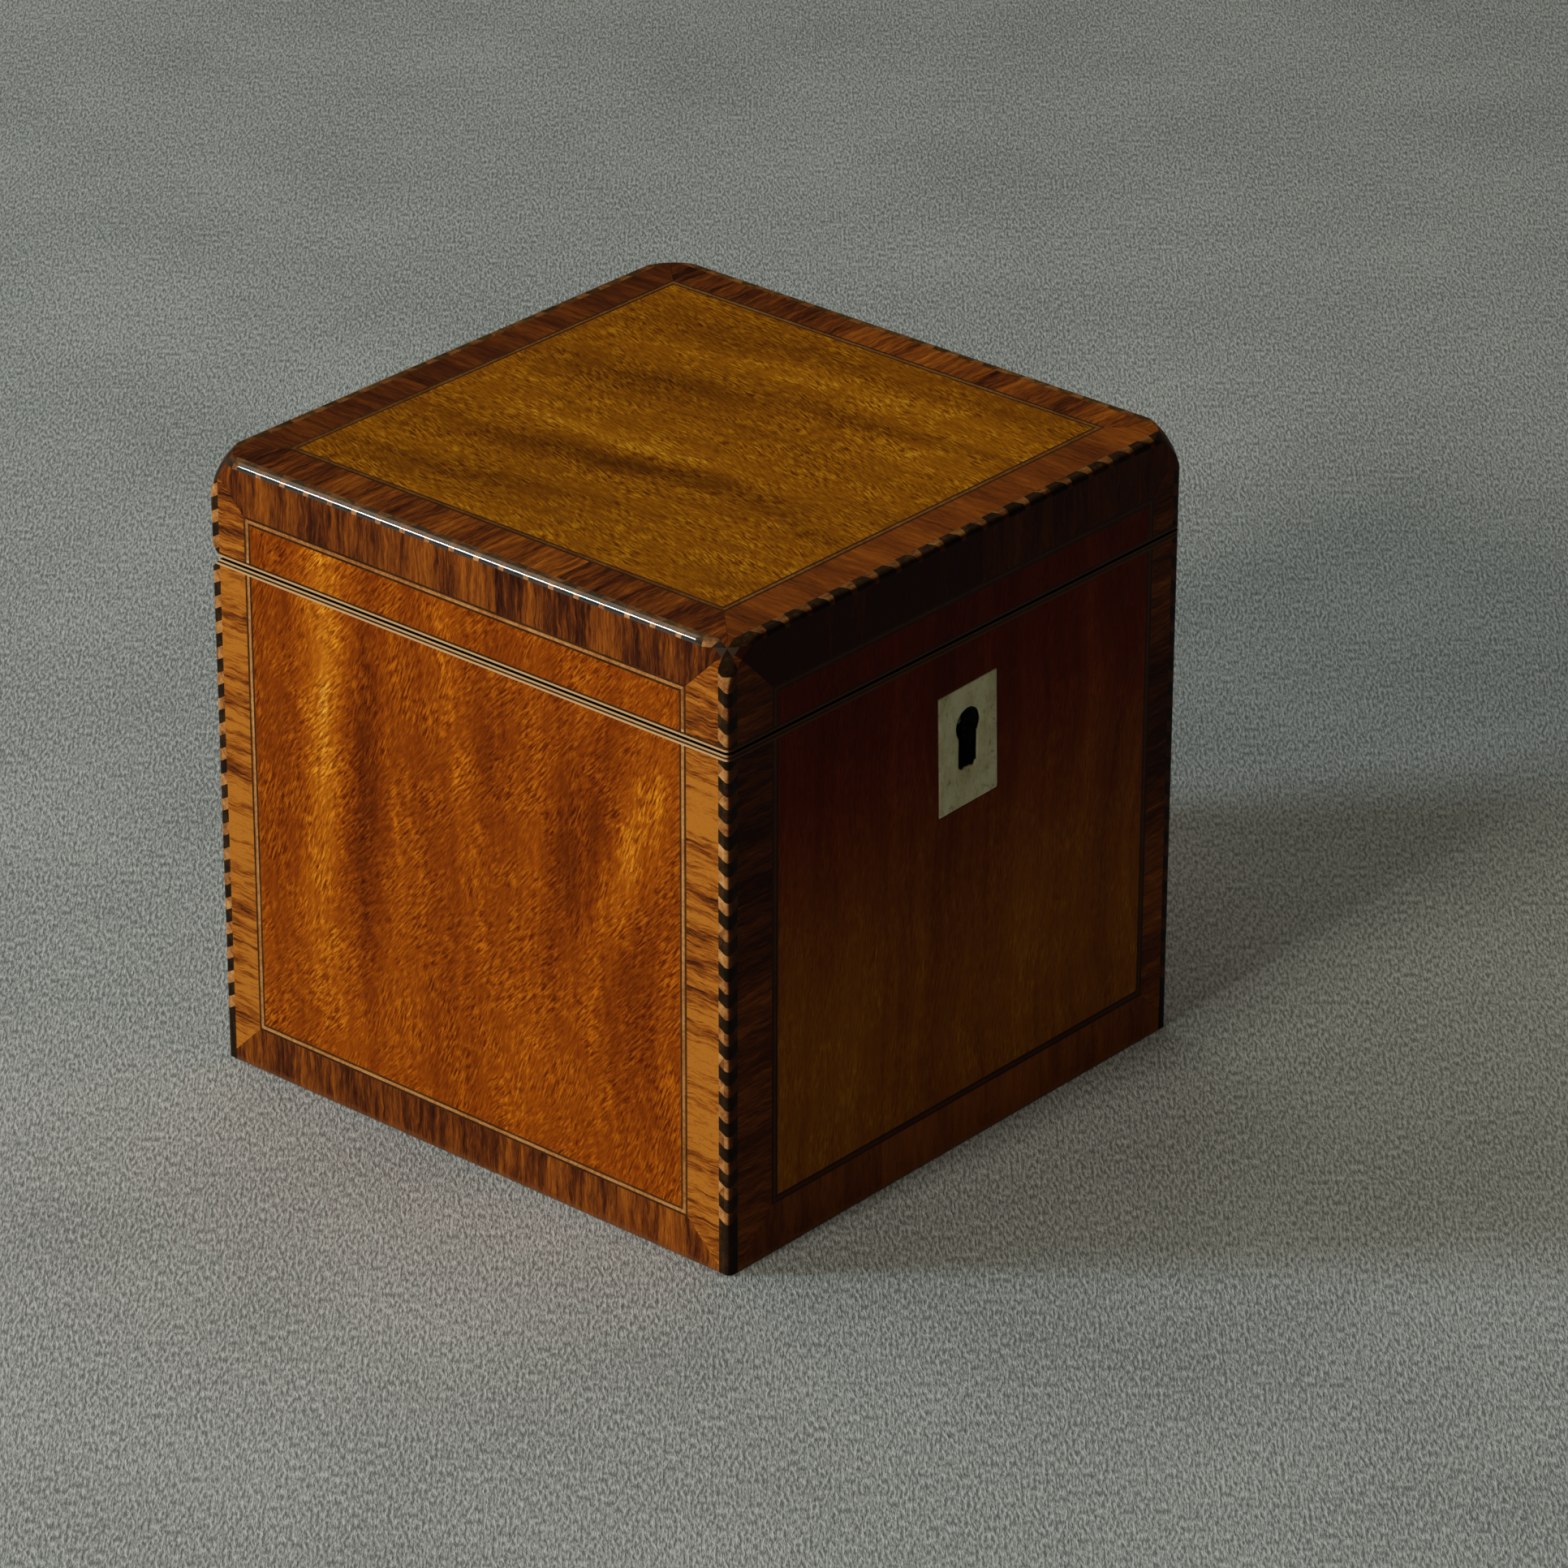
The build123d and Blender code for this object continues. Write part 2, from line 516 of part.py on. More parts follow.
def top_blocks(first, count, along_x):
    """Light blocks for two of the top sticks: those along X, or those along Y."""
    with BuildPart() as batch:
        with BuildSketch(Plane.XY.offset(HEIGHT - TOP_STICK)):
            for middle in (first + i * TOP_PITCH for i in range(count)):
                for inner, arris in ((-FIELD, -HALF), (FIELD, HALF)):
                    corners = [(middle - WEDGE / 2, inner), (middle + WEDGE / 2, inner),
                               (middle + WEDGE_TIP / 2, arris), (middle - WEDGE_TIP / 2, arris)]
                    if not along_x:
                        corners = [(across, along) for along, across in corners]
                    Polygon(*corners, align=None)
        extrude(amount=TOP_STICK)
    return batch


with BuildPart() as body_sticks:
    with BuildSketch(Plane.XY.offset(FOOT_GAP)):
        with GridLocations(2 * HALF - STICK, 2 * HALF - STICK, 2, 2):
            Rectangle(STICK, STICK)
    extrude(amount=BODY_TOP - FOOT_GAP)
    add(outer_form.part, mode=Mode.INTERSECT)
    add(hinge_space.part, mode=Mode.SUBTRACT)

with BuildPart() as lid_corner_sticks:
    with BuildSketch(Plane.XY.offset(LID_BOTTOM)):
        with GridLocations(2 * HALF - STICK, 2 * HALF - STICK, 2, 2):
            Rectangle(STICK, STICK)
    extrude(amount=HEIGHT - TOP_STICK - LID_BOTTOM)
    add(outer_form.part, mode=Mode.INTERSECT)
    add(hinge_space.part, mode=Mode.SUBTRACT)

with BuildPart() as lid_top_sticks:
    with BuildSketch(Plane.XY.offset(HEIGHT - TOP_STICK)):
        Rectangle(SIDE, SIDE)
        Rectangle(2 * FIELD, 2 * FIELD, mode=Mode.SUBTRACT)
    extrude(amount=TOP_STICK)
    add(outer_form.part, mode=Mode.INTERSECT)

body_slabs = corner_slabs(BODY_FIRST, BODY_BLOCKS)
lid_slabs = corner_slabs(LID_FIRST, LID_BLOCKS)
along_x = top_blocks(FRONT_FIRST, FRONT_BLOCKS, True)
along_y = top_blocks(SIDE_FIRST, SIDE_BLOCKS, False)

with BuildPart() as body_chequer_boxwood:
    add(body_sticks.part)
    add(body_slabs.part, mode=Mode.INTERSECT)
finish(body_chequer_boxwood, "body_chequer_boxwood")

with BuildPart() as body_chequer_ebony:
    add(body_sticks.part)
    add(body_slabs.part, mode=Mode.SUBTRACT)
finish(body_chequer_ebony, "body_chequer_ebony")

with BuildPart() as lid_light_slabs:
    add(lid_slabs.part)
    add(along_x.part)
    add(along_y.part)

with BuildPart() as lid_chequer_boxwood:
    add(lid_corner_sticks.part)
    add(lid_top_sticks.part)
    add(lid_light_slabs.part, mode=Mode.INTERSECT)
finish(lid_chequer_boxwood, "lid_chequer_boxwood")

with BuildPart() as lid_chequer_ebony:
    add(lid_corner_sticks.part)
    add(lid_top_sticks.part)
    add(lid_light_slabs.part, mode=Mode.SUBTRACT)
finish(lid_chequer_ebony, "lid_chequer_ebony")

# ---------------------------------------------------------------- escutcheon
with BuildPart() as escutcheon:
    with BuildSketch(FACES["front"].plane):
        with Locations((LOCK_X, ESCUTCHEON_Z)):
            Rectangle(ESCUTCHEON_W, ESCUTCHEON_H, rotation=ESCUTCHEON_TILT)
        keyhole()
    extrude(amount=VENEER)
finish(escutcheon, "escutcheon")

# ---------------------------------------------------------------- lock
with BuildPart() as lock_plate:
    with BuildSketch(front_plane(-CAVITY)):
        bar(LOCK_X - LOCK_HALF, LOCK_X + LOCK_HALF, LOCK_FOOT, RIM)
    extrude(amount=PLATE)
    with BuildSketch(front_plane(-CAVITY)):
        bar(LOCK_X - LOCK_HALF, LOCK_X + LOCK_HALF, RIM - SELVEDGE, RIM)
    extrude(amount=SELVEDGE_DEPTH)
    with BuildSketch(Plane.XY.offset(RIM)):
        bar(LOCK_X - STAPLE_HALF - STAPLE_SLACK, LOCK_X + STAPLE_HALF + STAPLE_SLACK,
            STAPLE_FRONT - STAPLE_SLACK, STAPLE_BACK + STAPLE_SLACK)
    extrude(amount=-SELVEDGE, mode=Mode.SUBTRACT)
    add(lock_holes.part, mode=Mode.SUBTRACT)
finish(lock_plate, "lock_plate")

with BuildPart() as lock_case:
    with BuildSketch(front_plane(PLATE_BACK)):
        bar(LOCK_X - CASE_HALF, LOCK_X + CASE_HALF, CASE_FOOT, RIM - SELVEDGE)
        bar(LOCK_X - CASE_HALF + SHEET, LOCK_X + CASE_HALF - SHEET, CASE_FOOT + SHEET, RIM,
            mode=Mode.SUBTRACT)
    extrude(amount=CASE_DEPTH - SHEET)
finish(lock_case, "lock_case")

with BuildPart() as lock_cap:
    with BuildSketch(front_plane(CAP_FRONT + SHEET)):
        bar(LOCK_X - CASE_HALF, LOCK_X + CASE_HALF, CASE_FOOT, RIM - SELVEDGE)
        keyhole()
    extrude(amount=SHEET)
finish(lock_cap, "lock_cap")

with BuildPart() as lock_drill_pin:
    with BuildSketch(front_plane(PLATE_BACK)):
        with Locations((LOCK_X, KEY_Z)):
            Circle(DRILL_PIN_R)
    extrude(amount=CASE_DEPTH + DRILL_PIN_PROUD)
    fillet(faces().sort_by(Axis.Y)[0].edges(), radius=DRILL_PIN_ROUNDING)
finish(lock_drill_pin, "lock_drill_pin")

with BuildPart() as lock_bolt:
    with BuildSketch(front_plane(PLATE_BACK - BOLT_CLEAR)):
        bar(BOLT_LEFT, BOLT_TAIL, TAIL_FOOT, TAIL_TOP)
        bar(BOLT_LEFT, BOLT_NECK, TAIL_FOOT, NOSE_TOP)
        bar(NOTCH_LEFT, NOTCH_RIGHT, TAIL_FOOT, NOTCH_TOP, mode=Mode.SUBTRACT)
    extrude(amount=CASE_DEPTH - SHEET - 2 * BOLT_CLEAR)
    with BuildSketch(front_plane(STAPLE_BACK)):
        bar(BOLT_NECK, BOLT_NOSE, NOSE_FOOT, NOSE_TOP)
    extrude(amount=STAPLE_BACK - STAPLE_FRONT)
    fillet(edges().filter_by(Axis.Y).group_by(Axis.X)[0], radius=NOSE_ROUNDING)
finish(lock_bolt, "lock_bolt")

with BuildPart() as lock_spring:
    # Bowed strip under the selvedge that steadies the bolt.
    with BuildSketch(front_plane(PLATE_BACK - SPRING_CLEAR)):
        with BuildLine():
            lower, upper = [ThreePointArc((SPRING_LEFT, SPRING_ENDS + rise), (SPRING_MIDDLE, SPRING_DIP + rise),
                                          (SPRING_RIGHT, SPRING_ENDS + rise)) for rise in (0, SPRING_SHEET)]
            Line(lower @ 0, upper @ 0)
            Line(lower @ 1, upper @ 1)
        make_face()
    extrude(amount=CASE_DEPTH - SHEET - 2 * SPRING_CLEAR)
finish(lock_spring, "lock_spring")

with BuildPart() as link_plate:
    # Plate in the lid's rim, with the notched staple that hangs into the lock.
    with BuildSketch(front_plane(-CAVITY)):
        bar(LOCK_X - LOCK_HALF, LOCK_X + LOCK_HALF, LID_FOOT, LID_FOOT + SELVEDGE)
    extrude(amount=SELVEDGE_DEPTH)
    with BuildSketch(front_plane(STAPLE_BACK)):
        bar(LOCK_X - STAPLE_HALF, LOCK_X + STAPLE_HALF, STAPLE_FOOT, LID_FOOT)
        bar(LOCK_X - STAPLE_HALF, STAPLE_NOTCH, STAPLE_NOTCH_FOOT, STAPLE_NOTCH_TOP, mode=Mode.SUBTRACT)
    extrude(amount=STAPLE_BACK - STAPLE_FRONT)
    add(link_holes.part, mode=Mode.SUBTRACT)
finish(link_plate, "link_plate")

# ---------------------------------------------------------------- hinges
STEP = KNUCKLE + KNUCKLE_GAP


def hinge_leaf(x, own, face_z, thickness):
    """Butt leaf at x with the knuckles numbered in own, let in flush with the rim at face_z."""
    others = [i for i in range(KNUCKLES) if i not in own]

    def starts(numbers, x_start=x - LEAF_LENGTH / 2):
        return [x_start + i * STEP for i in numbers]

    with BuildPart() as leaf:
        with BuildSketch(Plane.XY.offset(face_z)):
            bar(x - LEAF_LENGTH / 2, x + LEAF_LENGTH / 2, LEAF_START, AXIS_Y)
        extrude(amount=thickness)
        for start in starts(others):
            with BuildSketch(Plane.YZ.offset(start - KNUCKLE_GAP)):
                with Locations((AXIS_Y, AXIS_Z)):
                    Circle(KNUCKLE_R + KNUCKLE_GAP)
            extrude(amount=KNUCKLE + 2 * KNUCKLE_GAP, mode=Mode.SUBTRACT)
        for start in starts(own):
            with BuildSketch(Plane.YZ.offset(start)):
                with Locations((AXIS_Y, AXIS_Z)):
                    Circle(KNUCKLE_R)
            extrude(amount=KNUCKLE)
        with BuildSketch(Plane.YZ.offset(x)):
            with Locations((AXIS_Y, AXIS_Z)):
                Circle(PIN_R + (PIN_FIT if thickness < 0 else PIN_SLACK))
        extrude(amount=LEAF_LENGTH, both=True, mode=Mode.SUBTRACT)
        add((body_leaf_holes if thickness < 0 else lid_leaf_holes).part, mode=Mode.SUBTRACT)
    return leaf


for hand, x in (("left", -HINGE_X), ("right", HINGE_X)):
    finish(hinge_leaf(x, (0, 2, 4), RIM, -LEAF), f"hinge_lower_leaf_{hand}")
    finish(hinge_leaf(x, (1, 3), LID_FOOT, LEAF), f"hinge_upper_leaf_{hand}")

with BuildPart() as hinge_pins:
    for x in (-HINGE_X, HINGE_X):
        with BuildSketch(Plane.YZ.offset(x)):
            with Locations((AXIS_Y, AXIS_Z)):
                Circle(PIN_R)
        extrude(amount=LEAF_LENGTH / 2, both=True)
finish(hinge_pins, "hinge_pins")

# ---------------------------------------------------------------- compartment
with BuildPart() as compartment_lining:
    inner = CAVITY - LINING
    with BuildSketch(Plane.XY.offset(BASE)):
        for side in (-1, 1):
            bar(-CAVITY, CAVITY, side * inner, side * CAVITY)
            bar(side * inner, side * CAVITY, -inner + JOINT, inner - JOINT)
    extrude(amount=LINING_TOP - BASE)
finish(compartment_lining, "compartment_lining")

with BuildPart() as foil_liner:
    with BuildSketch(Plane.XY.offset(BASE)):
        Rectangle(2 * inner, 2 * inner)
    extrude(amount=LINING_TOP - BASE - FOIL)
    offset(amount=-FOIL, openings=faces().sort_by(Axis.Z)[-1])
finish(foil_liner, "foil_liner")

with BuildPart() as inner_lid:
    with BuildSketch(Plane.XY.offset(INNER_LID_FOOT)):
        Rectangle(2 * (CAVITY - INNER_LID_FIT), 2 * (CAVITY - INNER_LID_FIT))
        Circle(SPIGOT_R, mode=Mode.SUBTRACT)
    extrude(amount=INNER_LID)
    fillet(faces().sort_by(Axis.Z)[-1].outer_wire().edges(), radius=INNER_LID_ROUNDING)
finish(inner_lid, "inner_lid")

with BuildPart() as inner_lid_knob:
    # Turned profile: spigot, spreading foot, waist and flattened ball.
    foot = INNER_LID_FOOT + INNER_LID
    top = foot + KNOB_HEIGHT
    with BuildSketch(Plane.XZ):
        with BuildLine():
            spigot_foot, neck = INNER_LID_FOOT + SPIGOT_SHORT, (KNOB_NECK_R, foot + KNOB_NECK)
            Polyline((0, top), (0, spigot_foot), (SPIGOT_R, spigot_foot), (SPIGOT_R, foot),
                     (KNOB_FOOT_R, foot), (KNOB_FOOT_R, foot + KNOB_FOOT))
            ThreePointArc((KNOB_FOOT_R, foot + KNOB_FOOT), (KNOB_WAIST_R, foot + KNOB_WAIST), neck)
            Spline(neck, (KNOB_R, foot + KNOB_WIDEST), (0, top), tangents=[(1, 0.25), (-1, 0)])
        make_face()
    revolve(axis=Axis.Z)
finish(inner_lid_knob, "inner_lid_knob")
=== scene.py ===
"""Looks of the veneered tea caddy: procedural woods, bone, metals, the inlaid details, studio and camera."""
import math
from collections import namedtuple

import bmesh
import bpy
from mathutils import Matrix, Vector, noise


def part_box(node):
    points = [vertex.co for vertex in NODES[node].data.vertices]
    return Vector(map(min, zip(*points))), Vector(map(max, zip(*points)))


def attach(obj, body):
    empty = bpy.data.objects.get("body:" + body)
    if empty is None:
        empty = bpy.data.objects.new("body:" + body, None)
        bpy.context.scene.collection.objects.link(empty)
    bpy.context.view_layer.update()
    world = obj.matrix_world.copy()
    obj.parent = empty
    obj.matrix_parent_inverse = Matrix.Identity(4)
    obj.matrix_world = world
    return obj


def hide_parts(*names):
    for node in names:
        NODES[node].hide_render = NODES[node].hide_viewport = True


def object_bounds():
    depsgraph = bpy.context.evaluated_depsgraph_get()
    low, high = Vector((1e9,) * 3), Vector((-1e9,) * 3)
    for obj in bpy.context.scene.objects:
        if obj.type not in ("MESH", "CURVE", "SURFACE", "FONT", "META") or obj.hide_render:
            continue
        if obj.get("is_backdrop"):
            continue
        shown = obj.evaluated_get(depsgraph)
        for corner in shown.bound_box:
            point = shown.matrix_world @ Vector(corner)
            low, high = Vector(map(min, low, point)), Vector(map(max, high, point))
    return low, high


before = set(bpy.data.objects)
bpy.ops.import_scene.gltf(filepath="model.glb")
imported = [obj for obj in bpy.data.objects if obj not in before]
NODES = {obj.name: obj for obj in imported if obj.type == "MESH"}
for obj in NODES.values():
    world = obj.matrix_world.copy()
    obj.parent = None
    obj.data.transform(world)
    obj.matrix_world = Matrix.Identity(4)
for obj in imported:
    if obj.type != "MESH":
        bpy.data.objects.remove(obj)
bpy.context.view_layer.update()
MM = 0.001

BODY_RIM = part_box("body_boxwood_stringing")[1]
LID_RIM, LID_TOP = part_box("lid_boxwood_stringing")
PLATE_LOW, PLATE_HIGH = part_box("escutcheon")
PLATE_MIDDLE = (PLATE_LOW + PLATE_HIGH) / 2

# The keyhole in the bone plate: a round eye over a slot.
EYE_RISE = 3.8 * MM                    # from the middle of the plate to the middle of the eye
EYE_RADIUS = 3.2 * MM
SLOT_DROP = 8.4 * MM                   # from the middle of the eye to the foot of the slot
SLOT_HALF_WIDTH = 2.5 * MM

# Places that the materials need, in millimetres.
HALF = LID_TOP.x / MM                              # from the middle to the outer faces
TOP = LID_TOP.z / MM
SEAM = (BODY_RIM.z + LID_RIM.z) / 2 / MM           # middle of the gap between body and lid
KEYHOLE_X = PLATE_MIDDLE.x / MM                    # middle of the keyhole
KEYHOLE_Z = (PLATE_MIDDLE.z + EYE_RISE + (EYE_RADIUS - SLOT_DROP) / 2) / MM

# Each face: the axis across it, and the sign that makes it run to the right as seen from outside.
FACES = {"front": ("X", 1), "left": ("Y", -1), "right": ("Y", 1), "back": ("X", -1)}

# Near-black painted shade for the seam between body and lid and for the inside of the keyhole.
RECESS_SHADE = (0.006, 0.004, 0.003)
HANDLED = (0.060, 0.022, 0.007)
DULL_POLISH = {"Specular IOR Level": 0.04}
WAXED_INLAY = {"Specular IOR Level": 0.08}


# ---------------------------------------------------------------- node graphs
# One layer of figure: features per millimetre across and along the grain, and the noise's own settings.
Layer = namedtuple("Layer", "across along detail roughness")


class Graph:
    """Writes one material's node tree. Values may be sockets or numbers."""

    def __init__(self, name):
        self.material = bpy.data.materials.new(name)
        self.material.use_nodes = True
        self.tree = self.material.node_tree
        self.shader = self.tree.nodes["Principled BSDF"]

    def feed(self, socket, value):
        if isinstance(value, bpy.types.NodeSocket):
            self.tree.links.new(value, socket)
        else:
            socket.default_value = value

    def node(self, kind, inputs=None, **settings):
        made = self.tree.nodes.new("ShaderNode" + kind)
        for key, value in settings.items():
            setattr(made, key, value)
        for key, value in (inputs or {}).items():
            self.feed(made.inputs[key], value)
        return made

    def maths(self, operation, *values):
        made = self.node("Math", operation=operation)
        for socket, value in zip(made.inputs, values):
            self.feed(socket, value)
        return made.outputs[0]

    def add(self, a, b):
        return self.maths("ADD", a, b)

    def minus(self, a, b):
        return self.maths("SUBTRACT", a, b)

    def times(self, a, b):
        return self.maths("MULTIPLY", a, b)

    def absolute(self, a):
        return self.maths("ABSOLUTE", a)

    def is_past(self, a, b):
        """1 where a is greater than b."""
        return self.maths("GREATER_THAN", a, b)

    def weighted(self, *pairs):
        """Sum of each value times its weight."""
        total = 0.0
        for value, weight in pairs:
            total = self.maths("MULTIPLY_ADD", value, weight, total)
        return total

    def vector(self, x, y, z):
        return self.node("CombineXYZ", {"X": x, "Y": y, "Z": z}).outputs[0]

    def places(self):
        """Millimetre coordinates of the row frame, as three sockets x, y, z."""
        here = self.node("TexCoord").outputs["Object"]
        scaled = self.node("VectorMath", {"Vector": here, "Scale": 1 / MM}, operation="SCALE").outputs[0]
        return self.node("SeparateXYZ", {"Vector": scaled}).outputs[:3]

    def noise(self, vector, detail=2.0, roughness=0.5, distortion=0.0):
        """Noise of about one feature per unit of the vector."""
        return self.node("TexNoise", {"Vector": vector, "Scale": 1.0, "Detail": detail,
                                      "Roughness": roughness, "Distortion": distortion}).outputs[0]

    def figure(self, layer, across, along, seed, distortion=0.0):
        """Noise drawn out along the grain as the layer says."""
        spot = self.vector(self.times(across, layer.across), self.times(along, layer.along), seed)
        return self.noise(spot, layer.detail, layer.roughness, distortion)

    def cloud(self, rate, detail=2.0, roughness=0.5, distortion=0.0, stretch=(1, 1, 1)):
        """Noise in space: features per millimetre, times the stretch along each axis."""
        spot = [self.times(value, rate * factor) for value, factor in zip(self.places(), stretch)]
        return self.noise(self.vector(*spot), detail, roughness, distortion)

    def band(self, value, low, high, bottom=0.0, top=1.0):
        """Smooth step from bottom to top as value goes from low to high."""
        limits = {"Value": value, "From Min": low, "From Max": high, "To Min": bottom, "To Max": top}
        return self.node("MapRange", limits, interpolation_type="SMOOTHSTEP").outputs[0]

    def ramp(self, value, stops):
        """Colour of the value, from stops of place and colour."""
        made = self.node("ValToRGB", {"Fac": value})
        elements = made.color_ramp.elements
        while len(elements) < len(stops):
            elements.new(0.5)
        for element, (place, colour) in zip(elements, stops):
            element.position = place
            element.color = (*colour, 1)
        return made.outputs[0]

    def mix(self, mask, colour, other, blend="MIX"):
        """The colour where the mask is 0 and the other where it is 1."""
        made = self.node("Mix", data_type="RGBA", blend_type=blend, clamp_factor=True)
        for index, value in ((0, mask), (6, colour), (7, other)):
            self.feed(made.inputs[index], (*value, 1) if isinstance(value, tuple) else value)
        return made.outputs[2]

    def tinted(self, mask, colour, tint):
        """The colour, multiplied by a tint where the mask is 1."""
        return self.mix(mask, colour, self.mix(1.0, colour, tint, "MULTIPLY"))

    def mix_value(self, factor, a, b):
        return self.node("Mix", {"Factor": factor, "A": a, "B": b}, data_type="FLOAT").outputs[0]

    def island(self):
        """A random number for each separate piece of the mesh."""
        return self.node("NewGeometry").outputs["Random Per Island"]

    def finish(self, colour, roughness, height, depth, constants=None):
        """Connect the shader. depth is the height of the relief in millimetres."""
        self.feed(self.shader.inputs["Base Color"], colour)
        self.feed(self.shader.inputs["Roughness"], roughness)
        bump = self.node("Bump", {"Height": height, "Distance": depth * MM, "Strength": 1.0})
        self.feed(self.shader.inputs["Normal"], bump.outputs[0])
        for key, value in (constants or {}).items():
            self.shader.inputs[key].default_value = value
        return self.material


def face_places(g, face):
    """Millimetres across a face and up it; left to right and front to back on the top and the inner lid."""
    x, y, z = g.places()
    if face in ("top", "inner"):
        return x, y
    axis, sign = FACES[face]
    across = x if axis == "X" else y
    return (across if sign > 0 else g.times(across, -1.0)), z


def name_number(name):
    """A number made from a name's letters, the same on every run."""
    return sum(map(ord, name))


# ---------------------------------------------------------------- where shade is painted
def in_seam(g, half_height, depth):
    """1 close to the joint between body and lid, from the outside to a depth in millimetres."""
    x, y, z = g.places()
    level = g.band(g.absolute(g.add(z, -SEAM)), half_height + 0.02, half_height)
    outward = g.maths("MAXIMUM", g.absolute(x), g.absolute(y))
    return g.times(level, g.band(outward, HALF - depth, HALF + 0.25 - depth))


def in_keyhole(g):
    """1 on wood or bone inside the keyhole, below the plate's face."""
    half_width, half_height = 3.5, 8.8
    x, y, z = g.places()
    beside = g.band(g.absolute(g.add(x, -KEYHOLE_X)), half_width + 0.4, half_width)
    level = g.band(g.absolute(g.add(z, -KEYHOLE_Z)), half_height + 0.6, half_height)
    return g.times(g.times(beside, level), g.band(y, 0.15 - HALF, 0.4 - HALF))


# ---------------------------------------------------------------- mahogany
# Colour ramps run from the darkest to the lightest part of the figure.
WARM = [(0.05, (0.120, 0.017, 0.0006)), (0.34, (0.300, 0.048, 0.0012)), (0.60, (0.475, 0.094, 0.0022)),
        (0.82, (0.720, 0.200, 0.0070)), (0.98, (0.880, 0.350, 0.0350))]
# The next ramp is a darker copy of the mahogany, for the front and the back: painted shade.
SHADE_DARKENED = [(0.05, (0.060, 0.007, 0.0008)), (0.34, (0.140, 0.020, 0.0012)), (0.60, (0.220, 0.040, 0.0022)),
            (0.82, (0.310, 0.072, 0.0045)), (0.98, (0.420, 0.130, 0.0120))]
FADED = [(0.05, (0.120, 0.030, 0.0006)), (0.34, (0.270, 0.074, 0.0016)), (0.60, (0.440, 0.136, 0.0026)),
         (0.82, (0.640, 0.245, 0.0080)), (0.98, (0.800, 0.400, 0.0420))]
# The front is painted golden and lighter towards the foot, and redder and darker towards the top: painted
# light and shade.
FRONT_LIGHT_AND_SHADE = [(0.0, (1.50, 2.20, 0.9)), (0.4, (1.05, 1.18, 0.6)), (0.75, (0.68, 0.40, 0.3)),
          (1.0, (0.48, 0.20, 0.3))]
FRONT_SHADE_FOOT, FRONT_SHADE_HEAD = 20, 112
LIGHT_FLECK, DARK_FLECK = (1.55, 2.1, 2.8), (0.45, 0.33, 0.30)

# The mahogany's layers of figure, from the broadest to the finest.
WANDER = Layer(0.02, 0.016, 2, 0.5)
FLECK_SIDE = Layer(0.05, 0.03, 2, 0.5)
RIBBON = Layer(0.085, 0.0045, 3, 0.55)
DULLING = Layer(0.12, 0.12, 3, 0.5)
MOTTLE = Layer(0.16, 0.11, 3, 0.6)
STREAK = Layer(0.45, 0.014, 4, 0.6)
FLECK = Layer(2.5, 0.42, 2, 0.55)
GRAIN = Layer(2.6, 0.09, 3, 0.6)

# A soft light (+) or dark (-) patch: its middle across and along, half width and half length in millimetres,
# its lean in degrees and its strength.
Mark = namedtuple("Mark", "across along wide long lean strength")
# A veneer: its colours, the lean of its flecks from the grain and their strength, the seed of its noise and
# its patches.
Veneer = namedtuple("Veneer", "stops lean fleck seed marks")
VENEERS = {
    "left": Veneer(WARM, 40, 1.0, 3.0, [
        Mark(-33, 80, 6.5, 52, 3, 0.26), Mark(-37, 26, 12, 24, -10, 0.10), Mark(-22, 68, 6.5, 46, 4, -0.26),
        Mark(-44, 84, 6, 34, 0, 0.08), Mark(42, 80, 6, 30, 20, 0.26), Mark(27, 74, 8, 30, 14, -0.30),
        Mark(6, 84, 9, 20, -28, -0.14), Mark(17, 66, 4, 34, -24, 0.10), Mark(0, 92, 4, 30, 0, 0.10),
        Mark(40, 42, 9, 30, 8, -0.16), Mark(14, 26, 12, 16, 10, 0.12)]),
    "front": Veneer(SHADE_DARKENED, 8, 0.45, 11.0, [
        Mark(-30, 40, 24, 40, 0, 0.10), Mark(20, 34, 30, 26, 0, 0.08), Mark(34, 84, 3, 30, 0, 0.08)]),
    "right": Veneer(WARM, -24, 0.8, 23.0, [
        Mark(20, 60, 8, 60, 6, 0.16), Mark(-24, 70, 10, 40, -8, -0.16), Mark(40, 50, 9, 40, 0, -0.12)]),
    "back": Veneer(SHADE_DARKENED, 14, 0.6, 37.0, [
        Mark(-16, 60, 10, 60, 4, 0.14), Mark(28, 60, 12, 50, -5, -0.12)]),
    "top": Veneer(FADED, 22, 1.0, 51.0, [
        Mark(-15, 0, 5, 40, -9, -0.27), Mark(-33, 18, 5, 34, -6, -0.24), Mark(-5, -4, 4, 46, -3, 0.22),
        Mark(22, -12, 4, 40, -7, -0.18), Mark(36, -20, 4, 30, -5, 0.12), Mark(-44, 0, 7, 60, -8, 0.12),
        Mark(16, 24, 6, 26, -4, -0.20), Mark(30, 8, 5, 46, -3, 0.12), Mark(42, 20, 6, 30, 0, -0.14),
        Mark(10, -34, 16, 16, 0, 0.08)]),
    "inner": Veneer(WARM, -16, 0.5, 71.0, [
        Mark(-24, 10, 9, 50, 5, -0.16), Mark(18, -6, 7, 48, 4, 0.12), Mark(38, 12, 8, 40, 6, -0.10)]),
}
STEEP = 12        # in degrees; a patch that leans less than this follows the wandering grain


def patch(g, across, along, mark):
    """A soft-edged oval, as strong as the mark says at its middle."""
    c, s = math.cos(math.radians(mark.lean)), math.sin(math.radians(mark.lean))
    u, v = g.add(across, -mark.across), g.add(along, -mark.along)
    beside = g.weighted((u, c / mark.wide), (v, -s / mark.wide))
    beyond = g.weighted((u, s / mark.long), (v, c / mark.long))
    offset = g.vector(beside, beyond, 0.0)
    radius = g.node("VectorMath", {"Vector": offset}, operation="LENGTH").outputs["Value"]
    return g.band(radius, 1.35, 0.0, 0.0, mark.strength)


